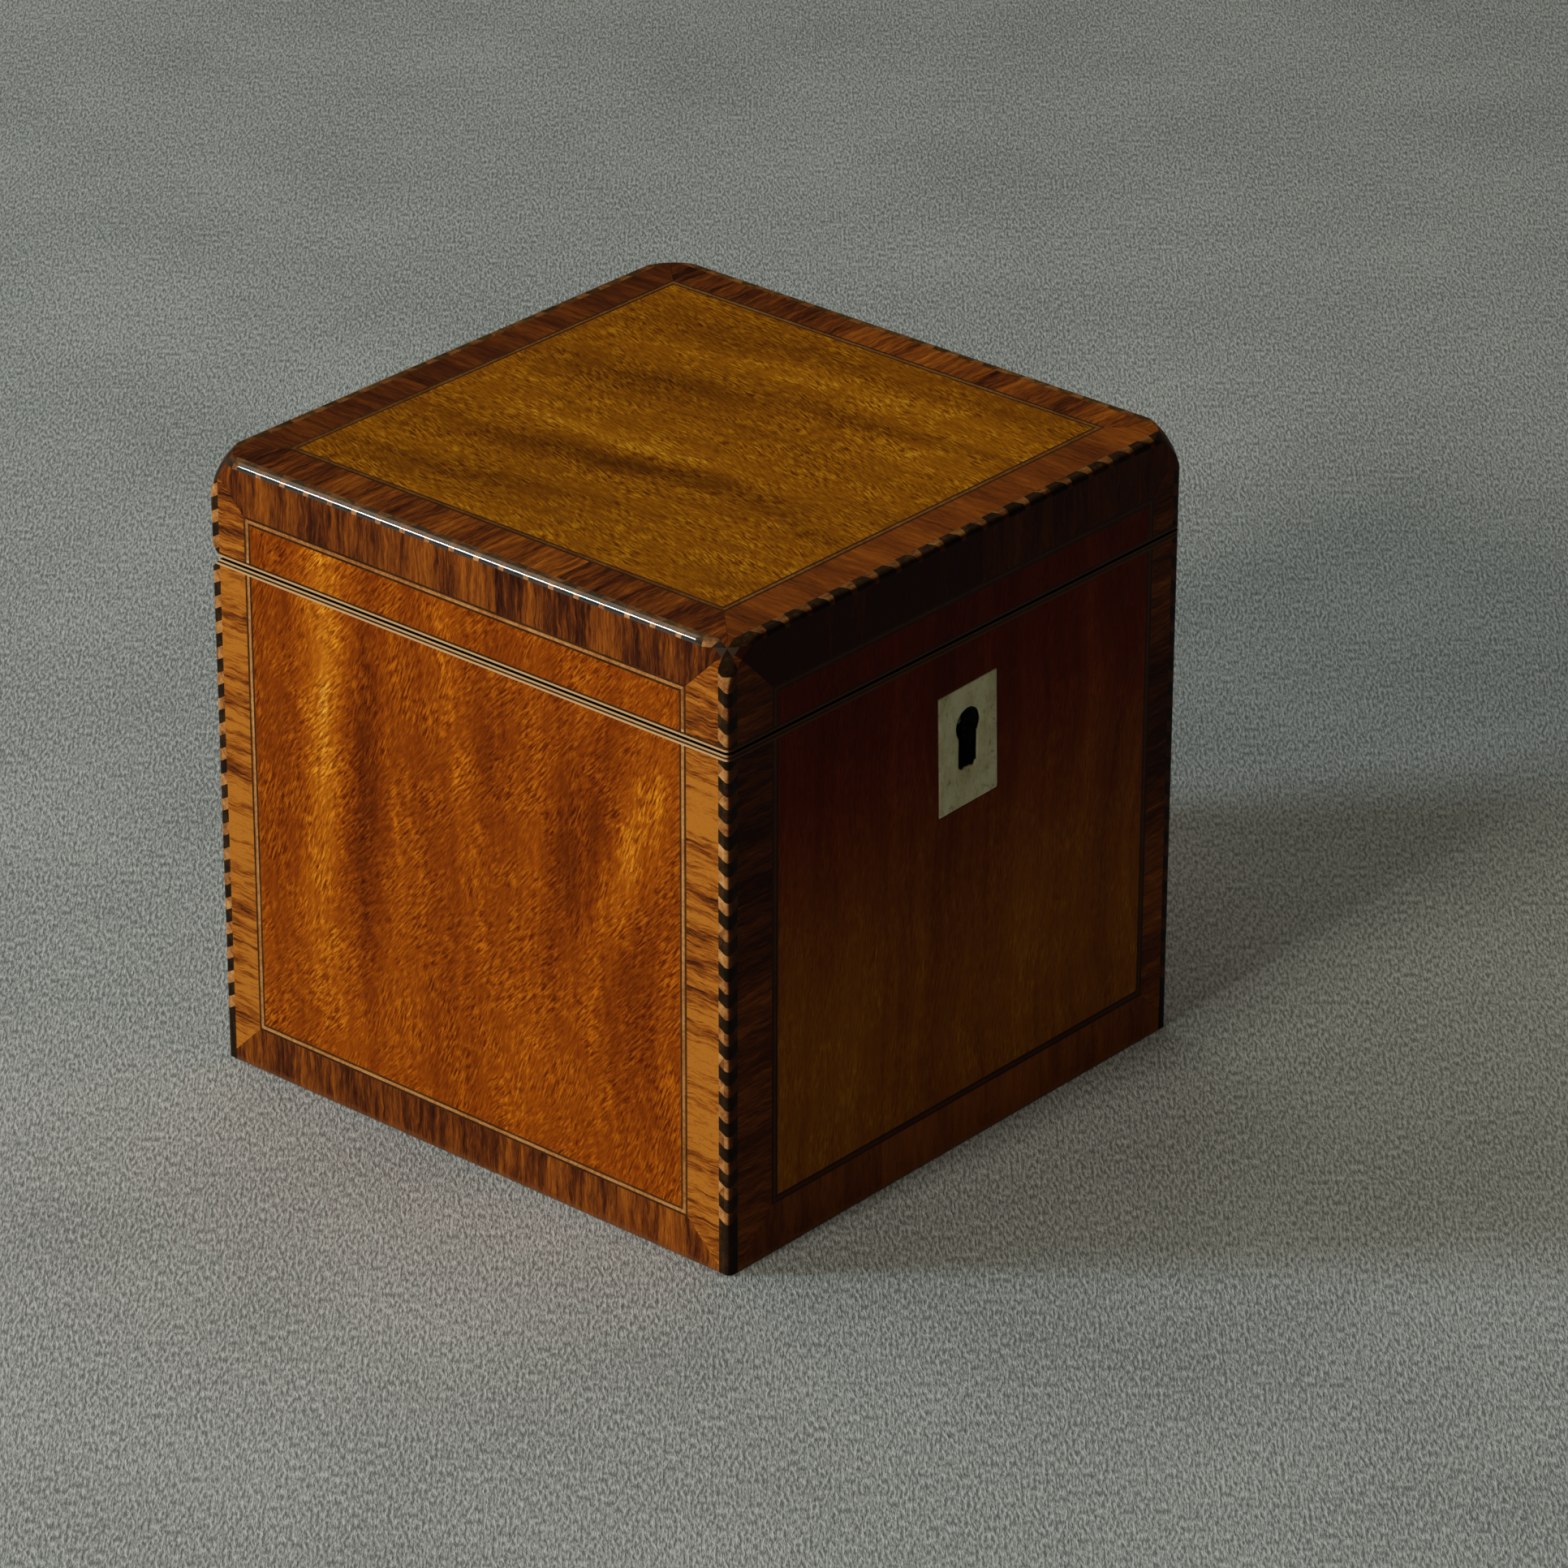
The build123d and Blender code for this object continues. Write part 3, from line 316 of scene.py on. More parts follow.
def flecks(g, across, along, lean, seed):
    """Short fine curling dashes that lean by an angle from the grain."""
    c, s = math.cos(math.radians(lean)), math.sin(math.radians(lean))
    u = g.weighted((across, c), (along, -s))
    v = g.weighted((across, s), (along, c))
    return g.figure(FLECK, u, v, seed, distortion=0.5)


def mahogany(name, face):
    """Ribbon-figured mahogany with light and dark flecks that lean across the grain."""
    look = VENEERS[face]
    seed = look.seed
    g = Graph(name)
    across, along = face_places(g, face)
    wander = g.figure(WANDER, across, along, seed)
    bent = g.weighted((g.add(wander, -0.5), 22.0), (across, 1.0))
    ribbon = g.figure(RIBBON, bent, along, seed + 1)
    streak = g.figure(STREAK, bent, along, seed + 2)
    grain = g.figure(GRAIN, bent, along, seed + 3)
    mottle = g.figure(MOTTLE, across, along, seed + 4)

    # The flecks lean less on some stretches than on others.
    straighter = flecks(g, across, along, look.lean * 0.55, seed + 5)
    leaning = flecks(g, across, along, look.lean, seed + 6)
    side = g.band(g.figure(FLECK_SIDE, across, along, seed + 7), 0.42, 0.54)
    fleck = g.mix_value(side, straighter, leaning)

    # The weaker the flecks, the plainer the straight grain shows.
    plain = 1.0 - look.fleck
    value = g.weighted((ribbon, 0.74), (streak, 0.42 + 0.30 * plain), (grain, 0.16 + 0.30 * plain),
                       (mottle, 0.34), (fleck, 0.28 * look.fleck))
    value = g.add(value, -0.48 - 0.16 * plain)
    for mark in look.marks:
        value = g.add(value, patch(g, bent if abs(mark.lean) < STEEP else across, along, mark))
    colour = g.ramp(value, look.stops)

    # The flecks come and go in patches.
    strength = g.times(g.band(mottle, 0.36, 0.60, 0.35, 1.0), look.fleck)
    colour = g.tinted(g.times(g.band(fleck, 0.51, 0.62), strength), colour, LIGHT_FLECK)
    colour = g.tinted(g.times(g.band(fleck, 0.48, 0.36), strength), colour, DARK_FLECK)
    # Painted light towards the foot and painted shade towards the top of the front.
    if face == "front":
        light_and_shade = g.ramp(g.band(along, FRONT_SHADE_FOOT, FRONT_SHADE_HEAD), FRONT_LIGHT_AND_SHADE)
        colour = g.mix(1.0, colour, light_and_shade, "MULTIPLY")
    height = g.weighted((fleck, 0.5), (grain, 0.5))
    rough = g.band(g.figure(DULLING, across, along, seed + 8), 0.3, 0.7, 0.34, 0.48)
    return g.finish(colour, rough, height, 0.045, DULL_POLISH)


# ---------------------------------------------------------------- crossbanding
# From its dark purple-brown streaks to its palest orange.
STREAKED = [(0.02, (0.030, 0.007, 0.004)), (0.26, (0.110, 0.024, 0.006)), (0.48, (0.270, 0.064, 0.008)),
            (0.70, (0.470, 0.124, 0.011)), (0.98, (0.680, 0.235, 0.026))]
PORE = (0.35, 0.3, 0.3)
RUBBED_FOOT = (0.26, 0.10, 0.040)

WOBBLE = Layer(0.25, 0.22, 2, 0.5)
BROAD = Layer(0.16, 0.020, 2, 0.5)
STRIPE = Layer(1.05, 0.08, 4, 0.62)
FINE = Layer(3.6, 0.34, 3, 0.6)
PORES = Layer(4.5, 1.1, 1.5, 0.5)
RUB = Layer(0.35, 0.8, 3, 0.5)

# How light the uprights and the level lengths are, and how strongly they are striped.
Tone = namedtuple("Tone", "uprights level contrast")
CROSSBANDS = {
    "body_crossband_left": Tone(0.20, -0.27, 1.4), "lid_crossband_left": Tone(0.14, -0.23, 1.4),
    # The front lengths are set darker than the others: painted shade.
    "body_crossband_front": Tone(-0.38, -0.26, 0.5), "lid_crossband_front": Tone(-0.44, -0.52, 0.5),
    "body_crossband_right": Tone(0.02, -0.20, 0.9), "lid_crossband_right": Tone(0.02, -0.05, 0.9),
    "body_crossband_back": Tone(-0.16, -0.24, 0.7), "lid_crossband_back": Tone(-0.16, -0.16, 0.7),
    "lid_crossband_top": Tone(-0.25, -0.21, 0.7),
}

# Where the lengths of crossbanding meet, in millimetres up the uprights and along the level lengths. On the
# top, the uprights are the lengths that run front to back.
Joints = namedtuple("Joints", "left_upright right_upright body_level lid_level")
JOINTS = {
    "front": Joints((38, 71), (45, 80), (-20, 24), (5,)),
    "left": Joints((30.5, 41, 76), (13, 35, 54, 82), (12,), (-3.5, 34.2)),
    "right": Joints((33, 69), (48, 77), (-9, 30), (16,)),
    "back": Joints((44, 66), (29, 61), (3,), (-22,)),
    "top": Joints((-20, 9), (-20, 9), (-14, 21), (-14, 21)),
}
# Added to the count of joints so that no two lengths share a number.
RIGHT_UPRIGHTS, LEVEL_LENGTHS, FAR_LENGTHS = 7.0, 20.0, 9.0


def joints_passed(g, value, joints):
    """How many of the joints lie below the value."""
    count = 0.0
    for joint in joints:
        count = g.add(g.is_past(value, joint), count)
    return count


def length_number(g, name, face, u, v, level):
    """A number between 0 and 1 for each length of crossbanding."""
    joints = JOINTS[face]
    left = joints_passed(g, v, joints.left_upright)
    right = g.add(joints_passed(g, v, joints.right_upright), RIGHT_UPRIGHTS)
    upright = g.mix_value(g.is_past(u, 0.0), left, right)
    flat = joints_passed(g, u, joints.lid_level if name.startswith("lid") else joints.body_level)
    flat = g.add(flat, LEVEL_LENGTHS)
    if face == "top":
        flat = g.add(flat, g.times(g.is_past(v, 0.0), FAR_LENGTHS))
    which = g.add(g.mix_value(level, upright, flat), name_number(name))
    return g.node("TexWhiteNoise", {"W": which}, noise_dimensions="1D").outputs["Value"]


def level_mask(g, name, face, u, v):
    """1 on the lengths that run level, or left to right on the top; 0 on the uprights. Mitres part them."""
    low, high = (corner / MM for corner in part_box(name.replace("crossband", "panel")))
    if face == "top":
        left, right = low.x, high.x
        past_v = g.maths("MAXIMUM", g.minus(low.y, v), g.minus(v, high.y))
    else:
        axis, sign = FACES[face]
        ends = (low.x, high.x) if axis == "X" else (low.y, high.y)
        left, right = sorted(sign * end for end in ends)
        past_v = g.minus(v, high.z) if name.startswith("lid") else g.minus(low.z, v)
    past_u = g.maths("MAXIMUM", g.minus(left, u), g.minus(u, right))
    return g.is_past(past_v, past_u)


def crossband(name, face):
    """Crossbanding: streaks run square to the edge, and each length has its own tone."""
    tone = CROSSBANDS[name]
    seed = name_number(name) * 0.37
    g = Graph(name)
    u, v = face_places(g, face)
    level = level_mask(g, name, face, u, v)
    length = length_number(g, name, face, u, v, level)
    across = g.mix_value(level, v, u)
    along = g.mix_value(level, u, v)

    wobble = g.figure(WOBBLE, across, along, seed)
    bent = g.weighted((g.add(wobble, -0.5), 1.6), (across, 1.0))
    piece = g.add(g.times(length, 40.0), seed)
    broad = g.figure(BROAD, bent, along, piece)
    stripe = g.figure(STRIPE, bent, along, piece)
    fine = g.figure(FINE, bent, along, piece)
    figure = g.weighted((g.add(broad, -0.5), 1.5), (g.add(stripe, -0.5), 1.6), (g.add(fine, -0.5), 1.1))

    # The level lengths are plainer than the uprights, which are paler towards the foot.
    contrast = g.mix_value(level, tone.contrast, 0.55 * tone.contrast)
    lightness = g.add(g.mix_value(level, tone.uprights, tone.level), 0.43)
    value = g.add(g.times(figure, contrast), lightness)
    value = g.weighted((length, 0.24), (g.band(v, 70, 20), 0.14), (value, 1.0))
    colour = g.ramp(value, STREAKED)
    pores = g.figure(PORES, across, along, seed + 9)
    colour = g.tinted(g.times(g.band(pores, 0.40, 0.25), 0.6), colour, PORE)
    if name.startswith("body"):
        # The foot is rubbed pale and brown where the box is set down.
        rub = g.weighted((g.figure(RUB, u, v, seed), 2.2), (v, 1.0))
        colour = g.mix(g.times(g.band(rub, 2.7, 1.4), 0.55), colour, RUBBED_FOOT)
    height = g.weighted((stripe, 0.4), (fine, 0.6))
    return g.finish(colour, g.band(stripe, 0.3, 0.7, 0.36, 0.50), height, 0.05, DULL_POLISH)


# ---------------------------------------------------------------- lines and chequered sticks
BOXWOOD = [(0.0, (0.20, 0.060, 0.014)), (0.3, (0.48, 0.180, 0.048)), (0.7, (0.74, 0.330, 0.100)),
           (1.0, (0.88, 0.500, 0.200))]
BOXWOOD_LINE = [(0.0, (0.30, 0.090, 0.014)), (0.4, (0.56, 0.200, 0.045)), (1.0, (0.86, 0.440, 0.160))]
EBONY_LINE = [(0.0, (0.040, 0.014, 0.004)), (0.6, (0.090, 0.032, 0.007)), (1.0, (0.150, 0.055, 0.012))]
EBONY = [(0.0, (0.012, 0.006, 0.003)), (0.6, (0.034, 0.016, 0.006)), (1.0, (0.080, 0.034, 0.012))]
RIM_HIGHLIGHT = (0.90, 0.58, 0.30)

# An inlaid wood: its colours, grain features per millimetre, relief in millimetres, the painted light and
# shade on the top and the painted shade on the front, and how much of the top's tint reaches the front edge.
Inlay = namedtuple("Inlay", "stops rate relief top_tint front_tint edge_share")
LIGHT_LINE = Inlay(BOXWOOD_LINE, 1.3, 0.02, (0.45, 0.42, 0.36), (0.10, 0.05, 0.03), 1.0)
DARK_LINE = Inlay(EBONY_LINE, 0.9, 0.02, (0.8, 0.8, 0.8), (0.3, 0.2, 0.2), 1.0)
LIGHT_BLOCK = Inlay(BOXWOOD, 0.9, 0.005, (0.42, 0.38, 0.32), (0.10, 0.055, 0.04), 1.0)
DARK_BLOCK = Inlay(EBONY, 0.9, 0.005, (3.6, 3.4, 2.0), (0.3, 0.2, 0.2), 0.0)
POLISHED_ARRIS = {"Coat Roughness": 0.19, "Coat IOR": 2.0}


def painted_face_light_and_shade(g, colour, look):
    """Painted light and shade: the inlay is tinted lighter or darker on the top and darker on the front."""
    _, y, z = g.places()
    upward = g.band(z, TOP - 0.75, TOP - 0.25)
    inward = g.band(y, 2.25 - HALF, 2.55 - HALF, look.edge_share, 1.0)
    colour = g.tinted(g.times(upward, inward), colour, look.top_tint)
    return g.tinted(g.band(y, 0.6 - HALF, 0.2 - HALF), colour, look.front_tint)


def inlay_wood(name, look, painted_rim_highlight=False, polished_arris=False):
    """Close-grained wood with grime and a tone of its own for each piece."""
    g = Graph(name)
    grain = g.cloud(look.rate, 4, 0.65)
    grime = g.cloud(0.16, 3, 0.6)
    value = g.add(g.weighted((grain, 0.8), (grime, 0.5), (g.island(), 0.24)), -0.12)
    colour = g.ramp(g.band(value, 0.36, 0.98), look.stops)
    x, _, z = g.places()
    if painted_rim_highlight:
        # The lines along the rims are painted lighter: painted highlight.
        near = g.band(g.absolute(g.add(z, -SEAM)), 1.6, 1.45)
        colour = g.mix(g.times(near, 0.8), colour, RIM_HIGHLIGHT)
    # Tinted on the top and darkened on the front: painted light and shade.
    colour = painted_face_light_and_shade(g, colour, look)
    # Painted shade in the seam between body and lid.
    colour = g.mix(in_seam(g, 0.26, 3.0), colour, RECESS_SHADE)
    constants = {**WAXED_INLAY, **POLISHED_ARRIS} if polished_arris else WAXED_INLAY
    if polished_arris:
        # Handling has polished the top arris over the left side; elsewhere the wood is dull.
        arris = g.times(g.band(x, 2.75 - HALF, 1.75 - HALF), g.band(z, TOP - 1.8, TOP - 1.2))
        g.feed(g.shader.inputs["Coat Weight"], arris)
    return g.finish(colour, g.band(grain, 0.3, 0.7, 0.34, 0.46), grain, look.relief, constants)


# ---------------------------------------------------------------- carcass, metals, bone, paper and foil
PINE = [(0.0, (0.22, 0.110, 0.045)), (0.5, (0.40, 0.235, 0.110)), (1.0, (0.52, 0.340, 0.180))]
CEDAR = [(0.0, (0.13, 0.050, 0.022)), (0.5, (0.26, 0.110, 0.045)), (1.0, (0.36, 0.175, 0.080))]
BRASS = [(0.0, (0.13, 0.080, 0.028)), (1.0, (0.44, 0.29, 0.11))]
STEEL = [(0.0, (0.075, 0.062, 0.052)), (1.0, (0.30, 0.28, 0.26))]
BONE = [(0.0, (0.58, 0.50, 0.24)), (0.5, (0.74, 0.67, 0.36)), (1.0, (0.86, 0.80, 0.50))]
BONE_PORE, BONE_STAIN = (0.22, 0.14, 0.06), (0.25, 0.15, 0.055)
PAPER = [(0.0, (0.20, 0.055, 0.040)), (1.0, (0.34, 0.115, 0.080))]
FOXING, FIBRE = (0.10, 0.04, 0.02), (0.45, 0.22, 0.15)
LEAD = [(0.0, (0.13, 0.125, 0.12)), (1.0, (0.36, 0.355, 0.34))]
DRAWN_OUT = {"X": (0.03, 1, 1), "Y": (1, 0.03, 1), "Z": (1, 1, 0.03)}


def carcass_wood(name, stops, grain_axis, rate=0.5):
    """Plain boards seen when the lid is open: growth rings drawn out along one axis."""
    g = Graph(name)
    stretch = DRAWN_OUT[grain_axis]
    rings = g.cloud(rate, 4, 0.6, 0.4, stretch)
    fine = g.cloud(rate * 5.0, 2, 0.5, 0.0, stretch)
    stain = g.cloud(0.05, 3, 0.6)
    value = g.weighted((rings, 0.7), (fine, 0.25), (stain, 0.35))
    # Painted shade inside the keyhole and in the seam between body and lid.
    colour = g.mix(in_keyhole(g), g.ramp(g.band(value, 0.42, 0.9), stops), RECESS_SHADE)
    colour = g.mix(in_seam(g, 1.0, 1.5), colour, RECESS_SHADE)
    # Where the corners of the top are worn through, the bare wood is black with handling.
    x, y, z = g.places()
    corner = g.maths("MINIMUM", g.absolute(x), g.absolute(y))
    worn = g.times(g.band(corner, HALF - 5.25, HALF - 4.25), g.band(z, TOP - 9.0, TOP - 7.0))
    colour = g.mix(worn, colour, HANDLED)
    return g.finish(colour, g.band(fine, 0.3, 0.7, 0.55, 0.75), rings, 0.08)


def metal(name, stops, roughness):
    """Old metal: mottled, with a dull bloom and fine scratches."""
    g = Graph(name)
    mottle = g.cloud(0.7, 4, 0.65)
    scratch = g.cloud(0.6, 2, 0.5, 0.0, (1, 10, 10))
    colour = g.ramp(g.band(mottle, 0.32, 0.68), stops)
    rough = g.band(mottle, 0.3, 0.7, roughness + 0.15, roughness)
    return g.finish(colour, rough, g.weighted((scratch, 0.5), (mottle, 1.0)), 0.02, {"Metallic": 1.0})


def bone(name, has_keyhole):
    """Old bone: cream, with short dark pores and brown staining, and painted shade inside the keyhole."""
    g = Graph(name)
    cloud = g.cloud(0.25, 4, 0.6, 0.0, (1, 1, 0.64))
    pores = g.cloud(5.0, 2, 0.5, 0.0, (1, 1, 0.16))
    stain = g.cloud(0.5, 4, 0.7)
    colour = g.ramp(g.band(cloud, 0.3, 0.7), BONE)
    colour = g.mix(g.times(g.band(pores, 0.40, 0.28), 0.55), colour, BONE_PORE)
    colour = g.mix(g.times(g.band(stain, 0.56, 0.72), 0.6), colour, BONE_STAIN)
    if has_keyhole:
        # Painted shade inside the keyhole.
        colour = g.mix(in_keyhole(g), colour, RECESS_SHADE)
    height = g.weighted((pores, 0.7), (cloud, 1.0))
    return g.finish(colour, g.band(stain, 0.3, 0.7, 0.32, 0.5), height, 0.03)


def paper(name):
    """Faded lining paper with fibres and foxing."""
    g = Graph(name)
    x, y, _ = g.places()
    fibre = g.cloud(3.0, 4, 0.7)
    fade = g.figure(Layer(0.05, 0.05, 3, 0.6), x, y, 0.0)
    spots = g.figure(Layer(0.35, 0.35, 2, 0.5), x, y, 4.0)
    colour = g.ramp(g.band(fade, 0.3, 0.7), PAPER)
    colour = g.mix(g.times(g.band(spots, 0.62, 0.72), 0.5), colour, FOXING)
    colour = g.mix(g.times(fibre, 0.25), colour, FIBRE)
    return g.finish(colour, 0.85, fibre, 0.05)


def foil(name):
    """Lead foil: dull grey, creased by hand."""
    g = Graph(name)
    spot = g.vector(*[g.times(value, 0.12) for value in g.places()])
    crease = g.node("TexVoronoi", {"Vector": spot, "Scale": 1.0}, feature="DISTANCE_TO_EDGE").outputs[0]
    ripple = g.cloud(0.3, 4, 0.6, 1.0)
    bloom = g.cloud(0.08, 4, 0.6)
    colour = g.ramp(g.band(bloom, 0.3, 0.7), LEAD)
    height = g.add(g.band(crease, 0.0, 0.25), ripple)
    return g.finish(colour, g.band(bloom, 0.3, 0.7, 0.6, 0.42), height, 0.5, {"Metallic": 0.85})


# ---------------------------------------------------------------- dressing the CAD nodes
FRONT_AND_BACK_BOARDS = ("carcass_front", "carcass_back", "lid_wall_front", "lid_wall_back")
SIDE_BOARDS = ("carcass_left", "carcass_right", "lid_wall_left", "lid_wall_right")
BRASS_PARTS = ("hinge_lower_leaf_left", "hinge_lower_leaf_right", "hinge_upper_leaf_left",
               "hinge_upper_leaf_right", "lock_plate", "link_plate")
STEEL_PARTS = ("hinge_pins", "hinge_screws_body", "hinge_screws_lid", "link_plate_screws", "lock_screws",
               "lock_case", "lock_cap", "lock_drill_pin", "lock_spring", "lock_bolt")


def dress(material, *nodes):
    """Give CAD nodes their material."""
    for node in nodes:
        mesh = NODES[node].data
        mesh.materials.clear()
        mesh.materials.append(material)


def soften(*nodes):
    """Ease the edges of CAD nodes."""
    for node in nodes:
        modifiers = NODES[node].modifiers
        modifiers.new("weld", "WELD").merge_threshold = 0.002 * MM
        bevel = modifiers.new("ease", "BEVEL")
        bevel.width = 0.3 * MM
        bevel.segments = 2
        bevel.limit_method = "ANGLE"
        bevel.angle_limit = math.radians(40)
        modifiers.new("flat", "WEIGHTED_NORMAL").keep_sharp = True


def dress_veneers():
    """Mahogany panels and their crossbanding."""
    for face in FACES:
        dress(mahogany(f"mahogany_{face}", face), f"body_panel_{face}", f"lid_panel_{face}")
    dress(mahogany("mahogany_top", "top"), "lid_panel_top")
    for name in CROSSBANDS:
        dress(crossband(name, name.rsplit("_", 1)[1]), name)


def dress_inlay():
    """Lines and chequered sticks."""
    dress(inlay_wood("boxwood_line", LIGHT_LINE, painted_rim_highlight=True),
          "body_boxwood_stringing", "lid_boxwood_stringing")
    dress(inlay_wood("ebony_line", DARK_LINE), "body_ebony_stringing", "lid_ebony_stringing")
    for part in ("body", "lid"):
        for wood, look in (("boxwood", LIGHT_BLOCK), ("ebony", DARK_BLOCK)):
            material = inlay_wood(f"{wood}_block_{part}", look, polished_arris=part == "lid")
            dress(material, f"{part}_chequer_{wood}")


def dress_inside():
    """What is seen when the lid is open."""
    dress(carcass_wood("pine_x", PINE, "X"), *FRONT_AND_BACK_BOARDS, "base_board", "lid_top_board")
    dress(carcass_wood("pine_y", PINE, "Y"), *SIDE_BOARDS)
    dress(carcass_wood("cedar", CEDAR, "Z", rate=0.8), "compartment_lining")
    dress(mahogany("mahogany_inner_lid", "inner"), "inner_lid")
    dress(bone("bone_knob", has_keyhole=False), "inner_lid_knob")
    dress(paper("lining_paper"), "lid_lining_paper")
    dress(foil("lead_foil"), "foil_liner")
    soften(*FRONT_AND_BACK_BOARDS, *SIDE_BOARDS, "inner_lid", "compartment_lining")


def dress_metals():
    """Hinges and lock."""
    dress(metal("old_brass", BRASS, 0.40), *BRASS_PARTS)
    dress(metal("old_steel", STEEL, 0.38), *STEEL_PARTS)


# ---------------------------------------------------------------- bone escutcheon
PLATE_TILT = math.radians(1.6)
FOOT_CHIP = 0.9 * MM                   # how deep the foot of the slot is chipped
PLATE_STEPS = 288                      # points round each ring of the plate's mesh

# The plate's section. share is the way from the outer edge (0) to the keyhole (1), inset a step from there
# towards the eye and depth the distance behind the front face, both in millimetres. None is the plate's back.
Ring = namedtuple("Ring", "share inset depth")
PLATE_SECTION = [
    Ring(0, 0.0, None), Ring(0, 0.0, 0.16), Ring(0, 0.05, 0.06), Ring(0, 0.16, 0.01), Ring(0, 1.2, 0.0),
    Ring(0.5, 0.0, 0.03),
    Ring(1, -0.9, 0.02), Ring(1, -0.22, 0.02), Ring(1, -0.06, 0.09), Ring(1, 0.0, 0.22), Ring(1, 0.0, None),
]


def plate_size():
    """Width and height of the tilted plate, worked out from the upright box round it."""
    span = PLATE_HIGH - PLATE_LOW
    c, s = math.cos(PLATE_TILT), math.sin(PLATE_TILT)
    shrink = math.cos(2 * PLATE_TILT)
    return (span.x * c - span.z * s) / shrink, (span.z * c - span.x * s) / shrink


def edge_distance(angle):
    """Distance from the keyhole's eye to the plate's edge."""
    width, height = plate_size()
    untilt = Matrix.Rotation(-PLATE_TILT, 2)
    start = untilt @ Vector((0, EYE_RISE))
    way = untilt @ Vector((math.cos(angle), math.sin(angle)))
    sides = ((start.x, way.x, width / 2), (start.y, way.y, height / 2))
    return min((math.copysign(half, step) - place) / step for place, step, half in sides if abs(step) > 1e-9)


def keyhole_distance(angle):
    """Distance from the eye to the keyhole's edge, ragged at the foot of its slot."""
    c, s = math.cos(angle), math.sin(angle)
    wear = 1 + 0.02 * noise.noise(Vector((6 * c, 6 * s, 1.0)))
    if s >= 0 or EYE_RADIUS * abs(c) >= SLOT_HALF_WIDTH:
        return EYE_RADIUS * wear
    chip = FOOT_CHIP * max(0.0, noise.noise(Vector((9 * c, 2.0, 5.0))) + 0.25)
    to_side = SLOT_HALF_WIDTH / max(abs(c), 1e-6)
    to_foot = (SLOT_DROP - chip) / -s
    return max(EYE_RADIUS, min(to_side, to_foot)) * wear


def add_ring(mesh, ring):
    """One closed line of points round the plate."""
    y = PLATE_HIGH.y if ring.depth is None else PLATE_LOW.y + ring.depth * MM
    points = []
    for i in range(PLATE_STEPS):
        angle = 2 * math.pi * (i + 0.5) / PLATE_STEPS
        far, near = edge_distance(angle), keyhole_distance(angle)
        radius = far + (near - far) * ring.share - ring.inset * MM
        x = PLATE_MIDDLE.x + radius * math.cos(angle)
        z = PLATE_MIDDLE.z + EYE_RISE + radius * math.sin(angle)
        points.append(mesh.verts.new((x, y, z)))
    return points


def escutcheon():
    """Bone plate with eased edges and a keyhole whose foot is chipped and ragged."""
    mesh = bmesh.new()
    rings = [add_ring(mesh, ring) for ring in PLATE_SECTION]
    for first, second in zip(rings, rings[1:] + rings[:1]):
        for i in range(PLATE_STEPS):
            j = (i + 1) % PLATE_STEPS
            mesh.faces.new((first[i], first[j], second[j], second[i]))
    bmesh.ops.recalc_face_normals(mesh, faces=mesh.faces)
    piece = add_mesh("bone_escutcheon", mesh, bone("bone_plate", has_keyhole=True))
    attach(piece, "body")
    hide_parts("escutcheon")


def add_mesh(name, mesh, material):
    """A smooth-shaded object from a finished mesh."""
    data = bpy.data.meshes.new(name)
    mesh.to_mesh(data)
    mesh.free()
    data.materials.append(material)
    for polygon in data.polygons:
        polygon.use_smooth = True
    piece = bpy.data.objects.new(name, data)
    bpy.context.scene.collection.objects.link(piece)
    return piece


# ---------------------------------------------------------------- studio and camera
CLOTH = [(0.0, (0.27, 0.296, 0.300)), (1.0, (0.81, 0.850, 0.870))]
THREADS = math.radians(40.9)           # the way the cloth's threads run, from the X axis
WEAVE = Layer(1.9, 0.55, 3, 0.6)
FLOOR_HALF = 3.0                       # metres

# Azimuth and elevation in degrees, distance and size in metres, power in watts.
Light = namedtuple("Light", "azimuth elevation distance size power colour")
LIGHTS = {
    "window_back": Light(-134, 31, 2.0, 0.35, 10.5, (0.80, 0.95, 1.0)),
    "window_side": Light(-90, 29, 2.0, 0.40, 13.4, (1.0, 0.93, 0.76)),
    "ceiling": Light(172, 60, 1.6, 1.5, 3.6, (1.0, 0.95, 0.80)),
}
LIT_POINT = Vector((0, 0, 0.05))
WORLD_COLOUR, WORLD_STRENGTH = (1.0, 0.92, 0.64, 1), 0.053

CAMERA_TARGET = Vector((7.83, -13.63, 53.99)) * MM
CAMERA_AZIMUTH, CAMERA_ELEVATION, CAMERA_ROLL = -49.11, 26.52, 0.15
CAMERA_DISTANCE = 1.3355
CAMERA_LENS, CAMERA_SENSOR = 171.0, 36


def direction(azimuth, elevation):
    """Unit vector towards a place seen at that azimuth (0 is straight in front of -Y) and elevation."""
    a, e = math.radians(azimuth), math.radians(elevation)
    return Vector((math.sin(a) * math.cos(e), -math.cos(a) * math.cos(e), math.sin(e)))


def look(item, place, target, roll=0.0):
    """Put an item at a place, facing the target."""
    item.location = place
    aim = (target - place).to_track_quat("-Z", "Y")
    item.rotation_euler = (aim.to_matrix() @ Matrix.Rotation(math.radians(roll), 3, "Z")).to_euler()


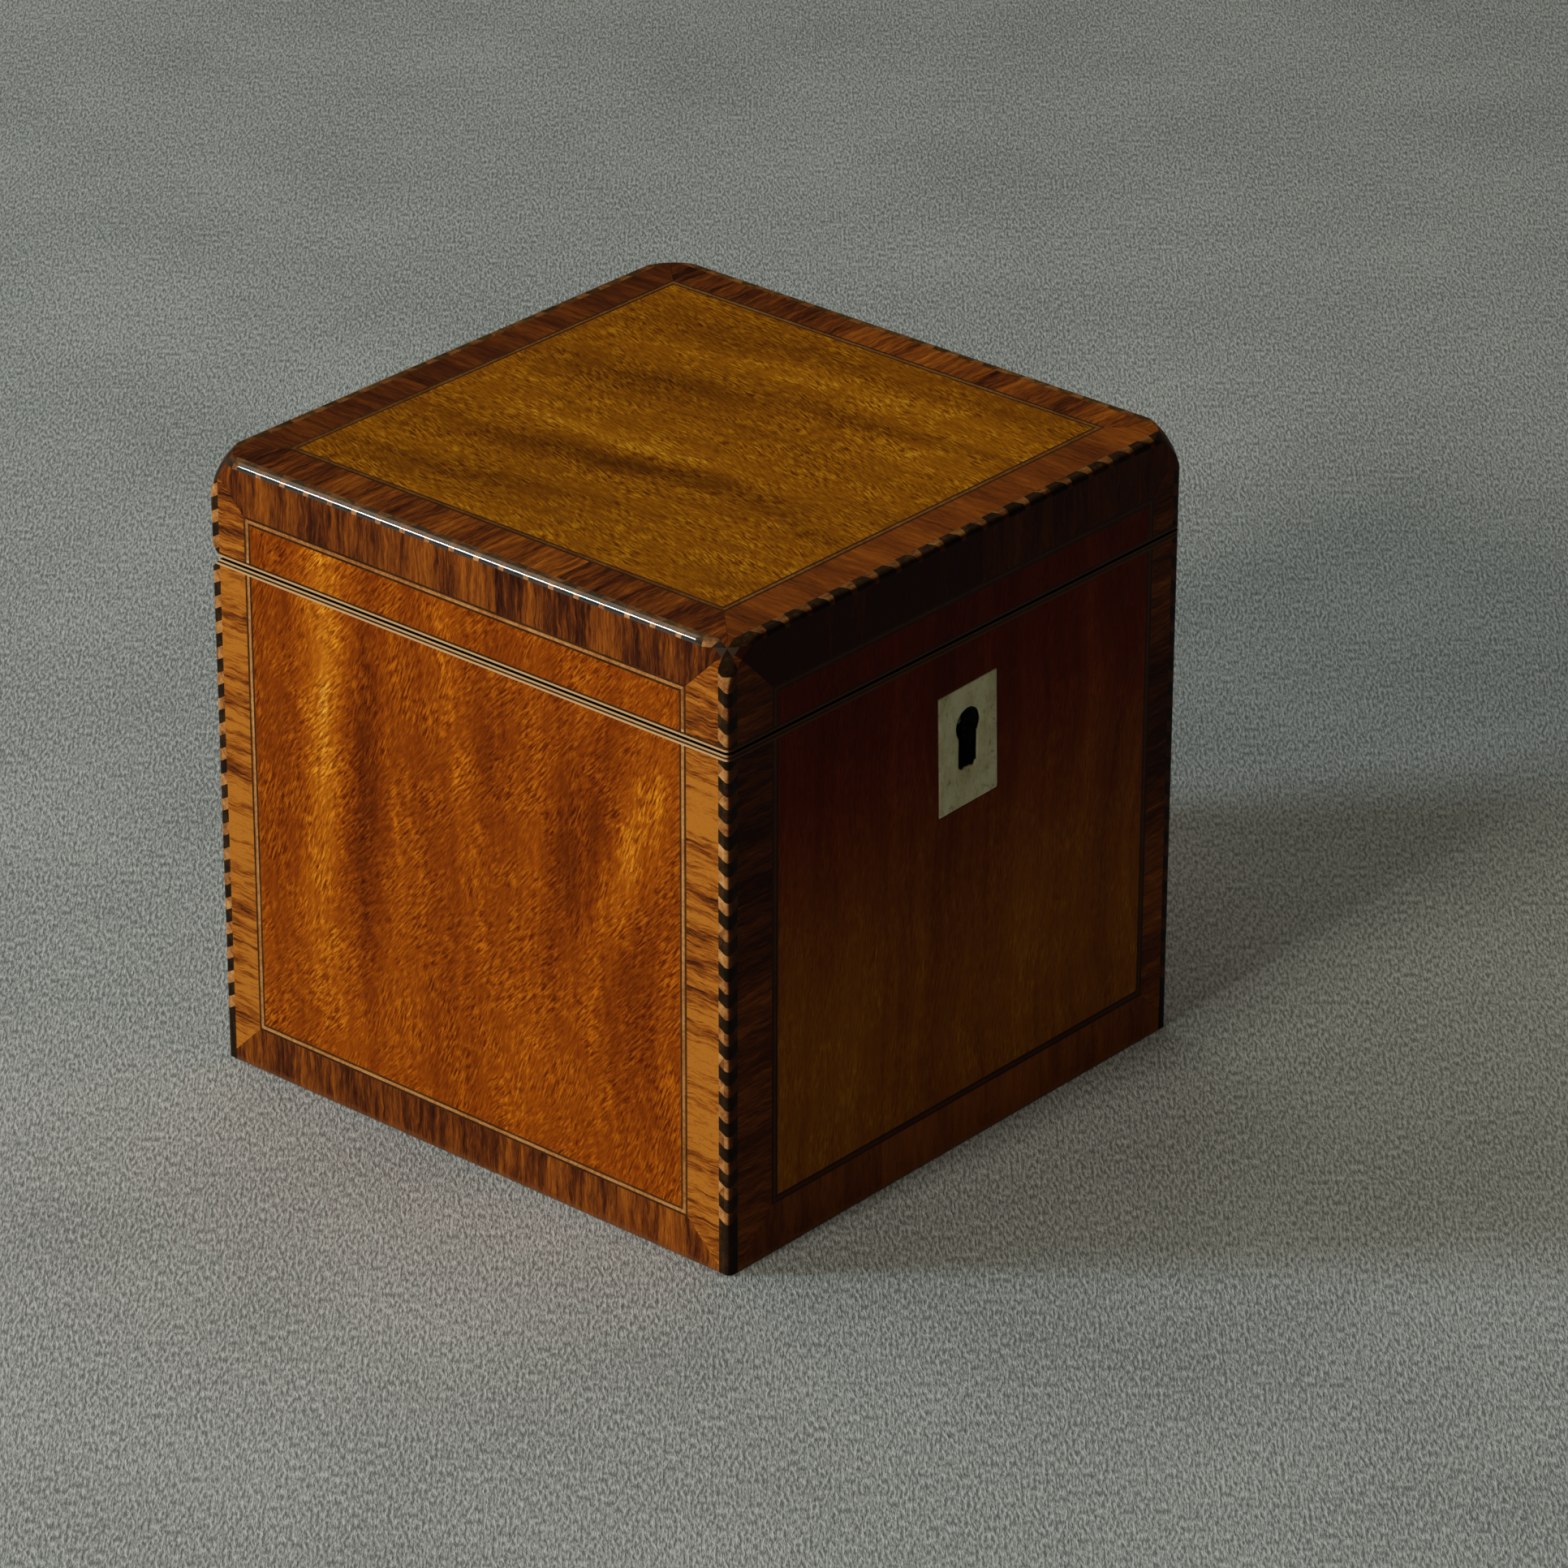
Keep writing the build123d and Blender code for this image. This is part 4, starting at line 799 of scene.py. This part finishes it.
def floor():
    """A matt woven backcloth: fine threads that run one way, under soft clouds."""
    g = Graph("floor")
    x, y, _ = g.places()
    c, s = math.cos(THREADS), math.sin(THREADS)
    along = g.weighted((x, c), (y, s))
    across = g.weighted((x, -s), (y, c))
    weave = g.figure(WEAVE, across, along, 0.0)
    cloud = g.figure(Layer(0.02, 0.02, 4, 0.6), x, y, 3.0)
    colour = g.ramp(g.band(g.weighted((weave, 0.88), (cloud, 0.12)), 0.35, 0.65), CLOTH)
    material = g.finish(colour, 0.9, weave, 0.6)
    mesh = bmesh.new()
    bmesh.ops.create_grid(mesh, x_segments=8, y_segments=8, size=FLOOR_HALF)
    cloth = add_mesh("floor", mesh, material)
    cloth.location.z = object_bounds()[0][2] - 0.02 * MM
    cloth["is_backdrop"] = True


def area_light(name, light):
    """A round lamp that faces the caddy."""
    data = bpy.data.lights.new(name, "AREA")
    data.shape = "DISK"
    data.size = light.size
    data.energy = light.power
    data.color = light.colour
    lamp = bpy.data.objects.new(name, data)
    bpy.context.scene.collection.objects.link(lamp)
    look(lamp, LIT_POINT + direction(light.azimuth, light.elevation) * light.distance, LIT_POINT)


def lighting():
    """The lamps and the faint light from all round."""
    for name, light in LIGHTS.items():
        area_light(name, light)
    world = bpy.data.worlds.new("studio")
    world.use_nodes = True
    background = world.node_tree.nodes["Background"]
    background.inputs["Color"].default_value = WORLD_COLOUR
    background.inputs["Strength"].default_value = WORLD_STRENGTH
    bpy.context.scene.world = world
    bpy.context.scene.view_settings.view_transform = "Standard"


def camera():
    """A long lens, from the front left and above."""
    data = bpy.data.cameras.new("camera")
    data.sensor_width = CAMERA_SENSOR
    data.lens = CAMERA_LENS
    data.clip_start = 0.05
    data.clip_end = 20
    eye = bpy.data.objects.new("camera", data)
    bpy.context.scene.collection.objects.link(eye)
    place = CAMERA_TARGET + direction(CAMERA_AZIMUTH, CAMERA_ELEVATION) * CAMERA_DISTANCE
    look(eye, place, CAMERA_TARGET, CAMERA_ROLL)
    bpy.context.scene.camera = eye


dress_veneers()
dress_inlay()
dress_inside()
dress_metals()
escutcheon()
floor()
lighting()
camera()
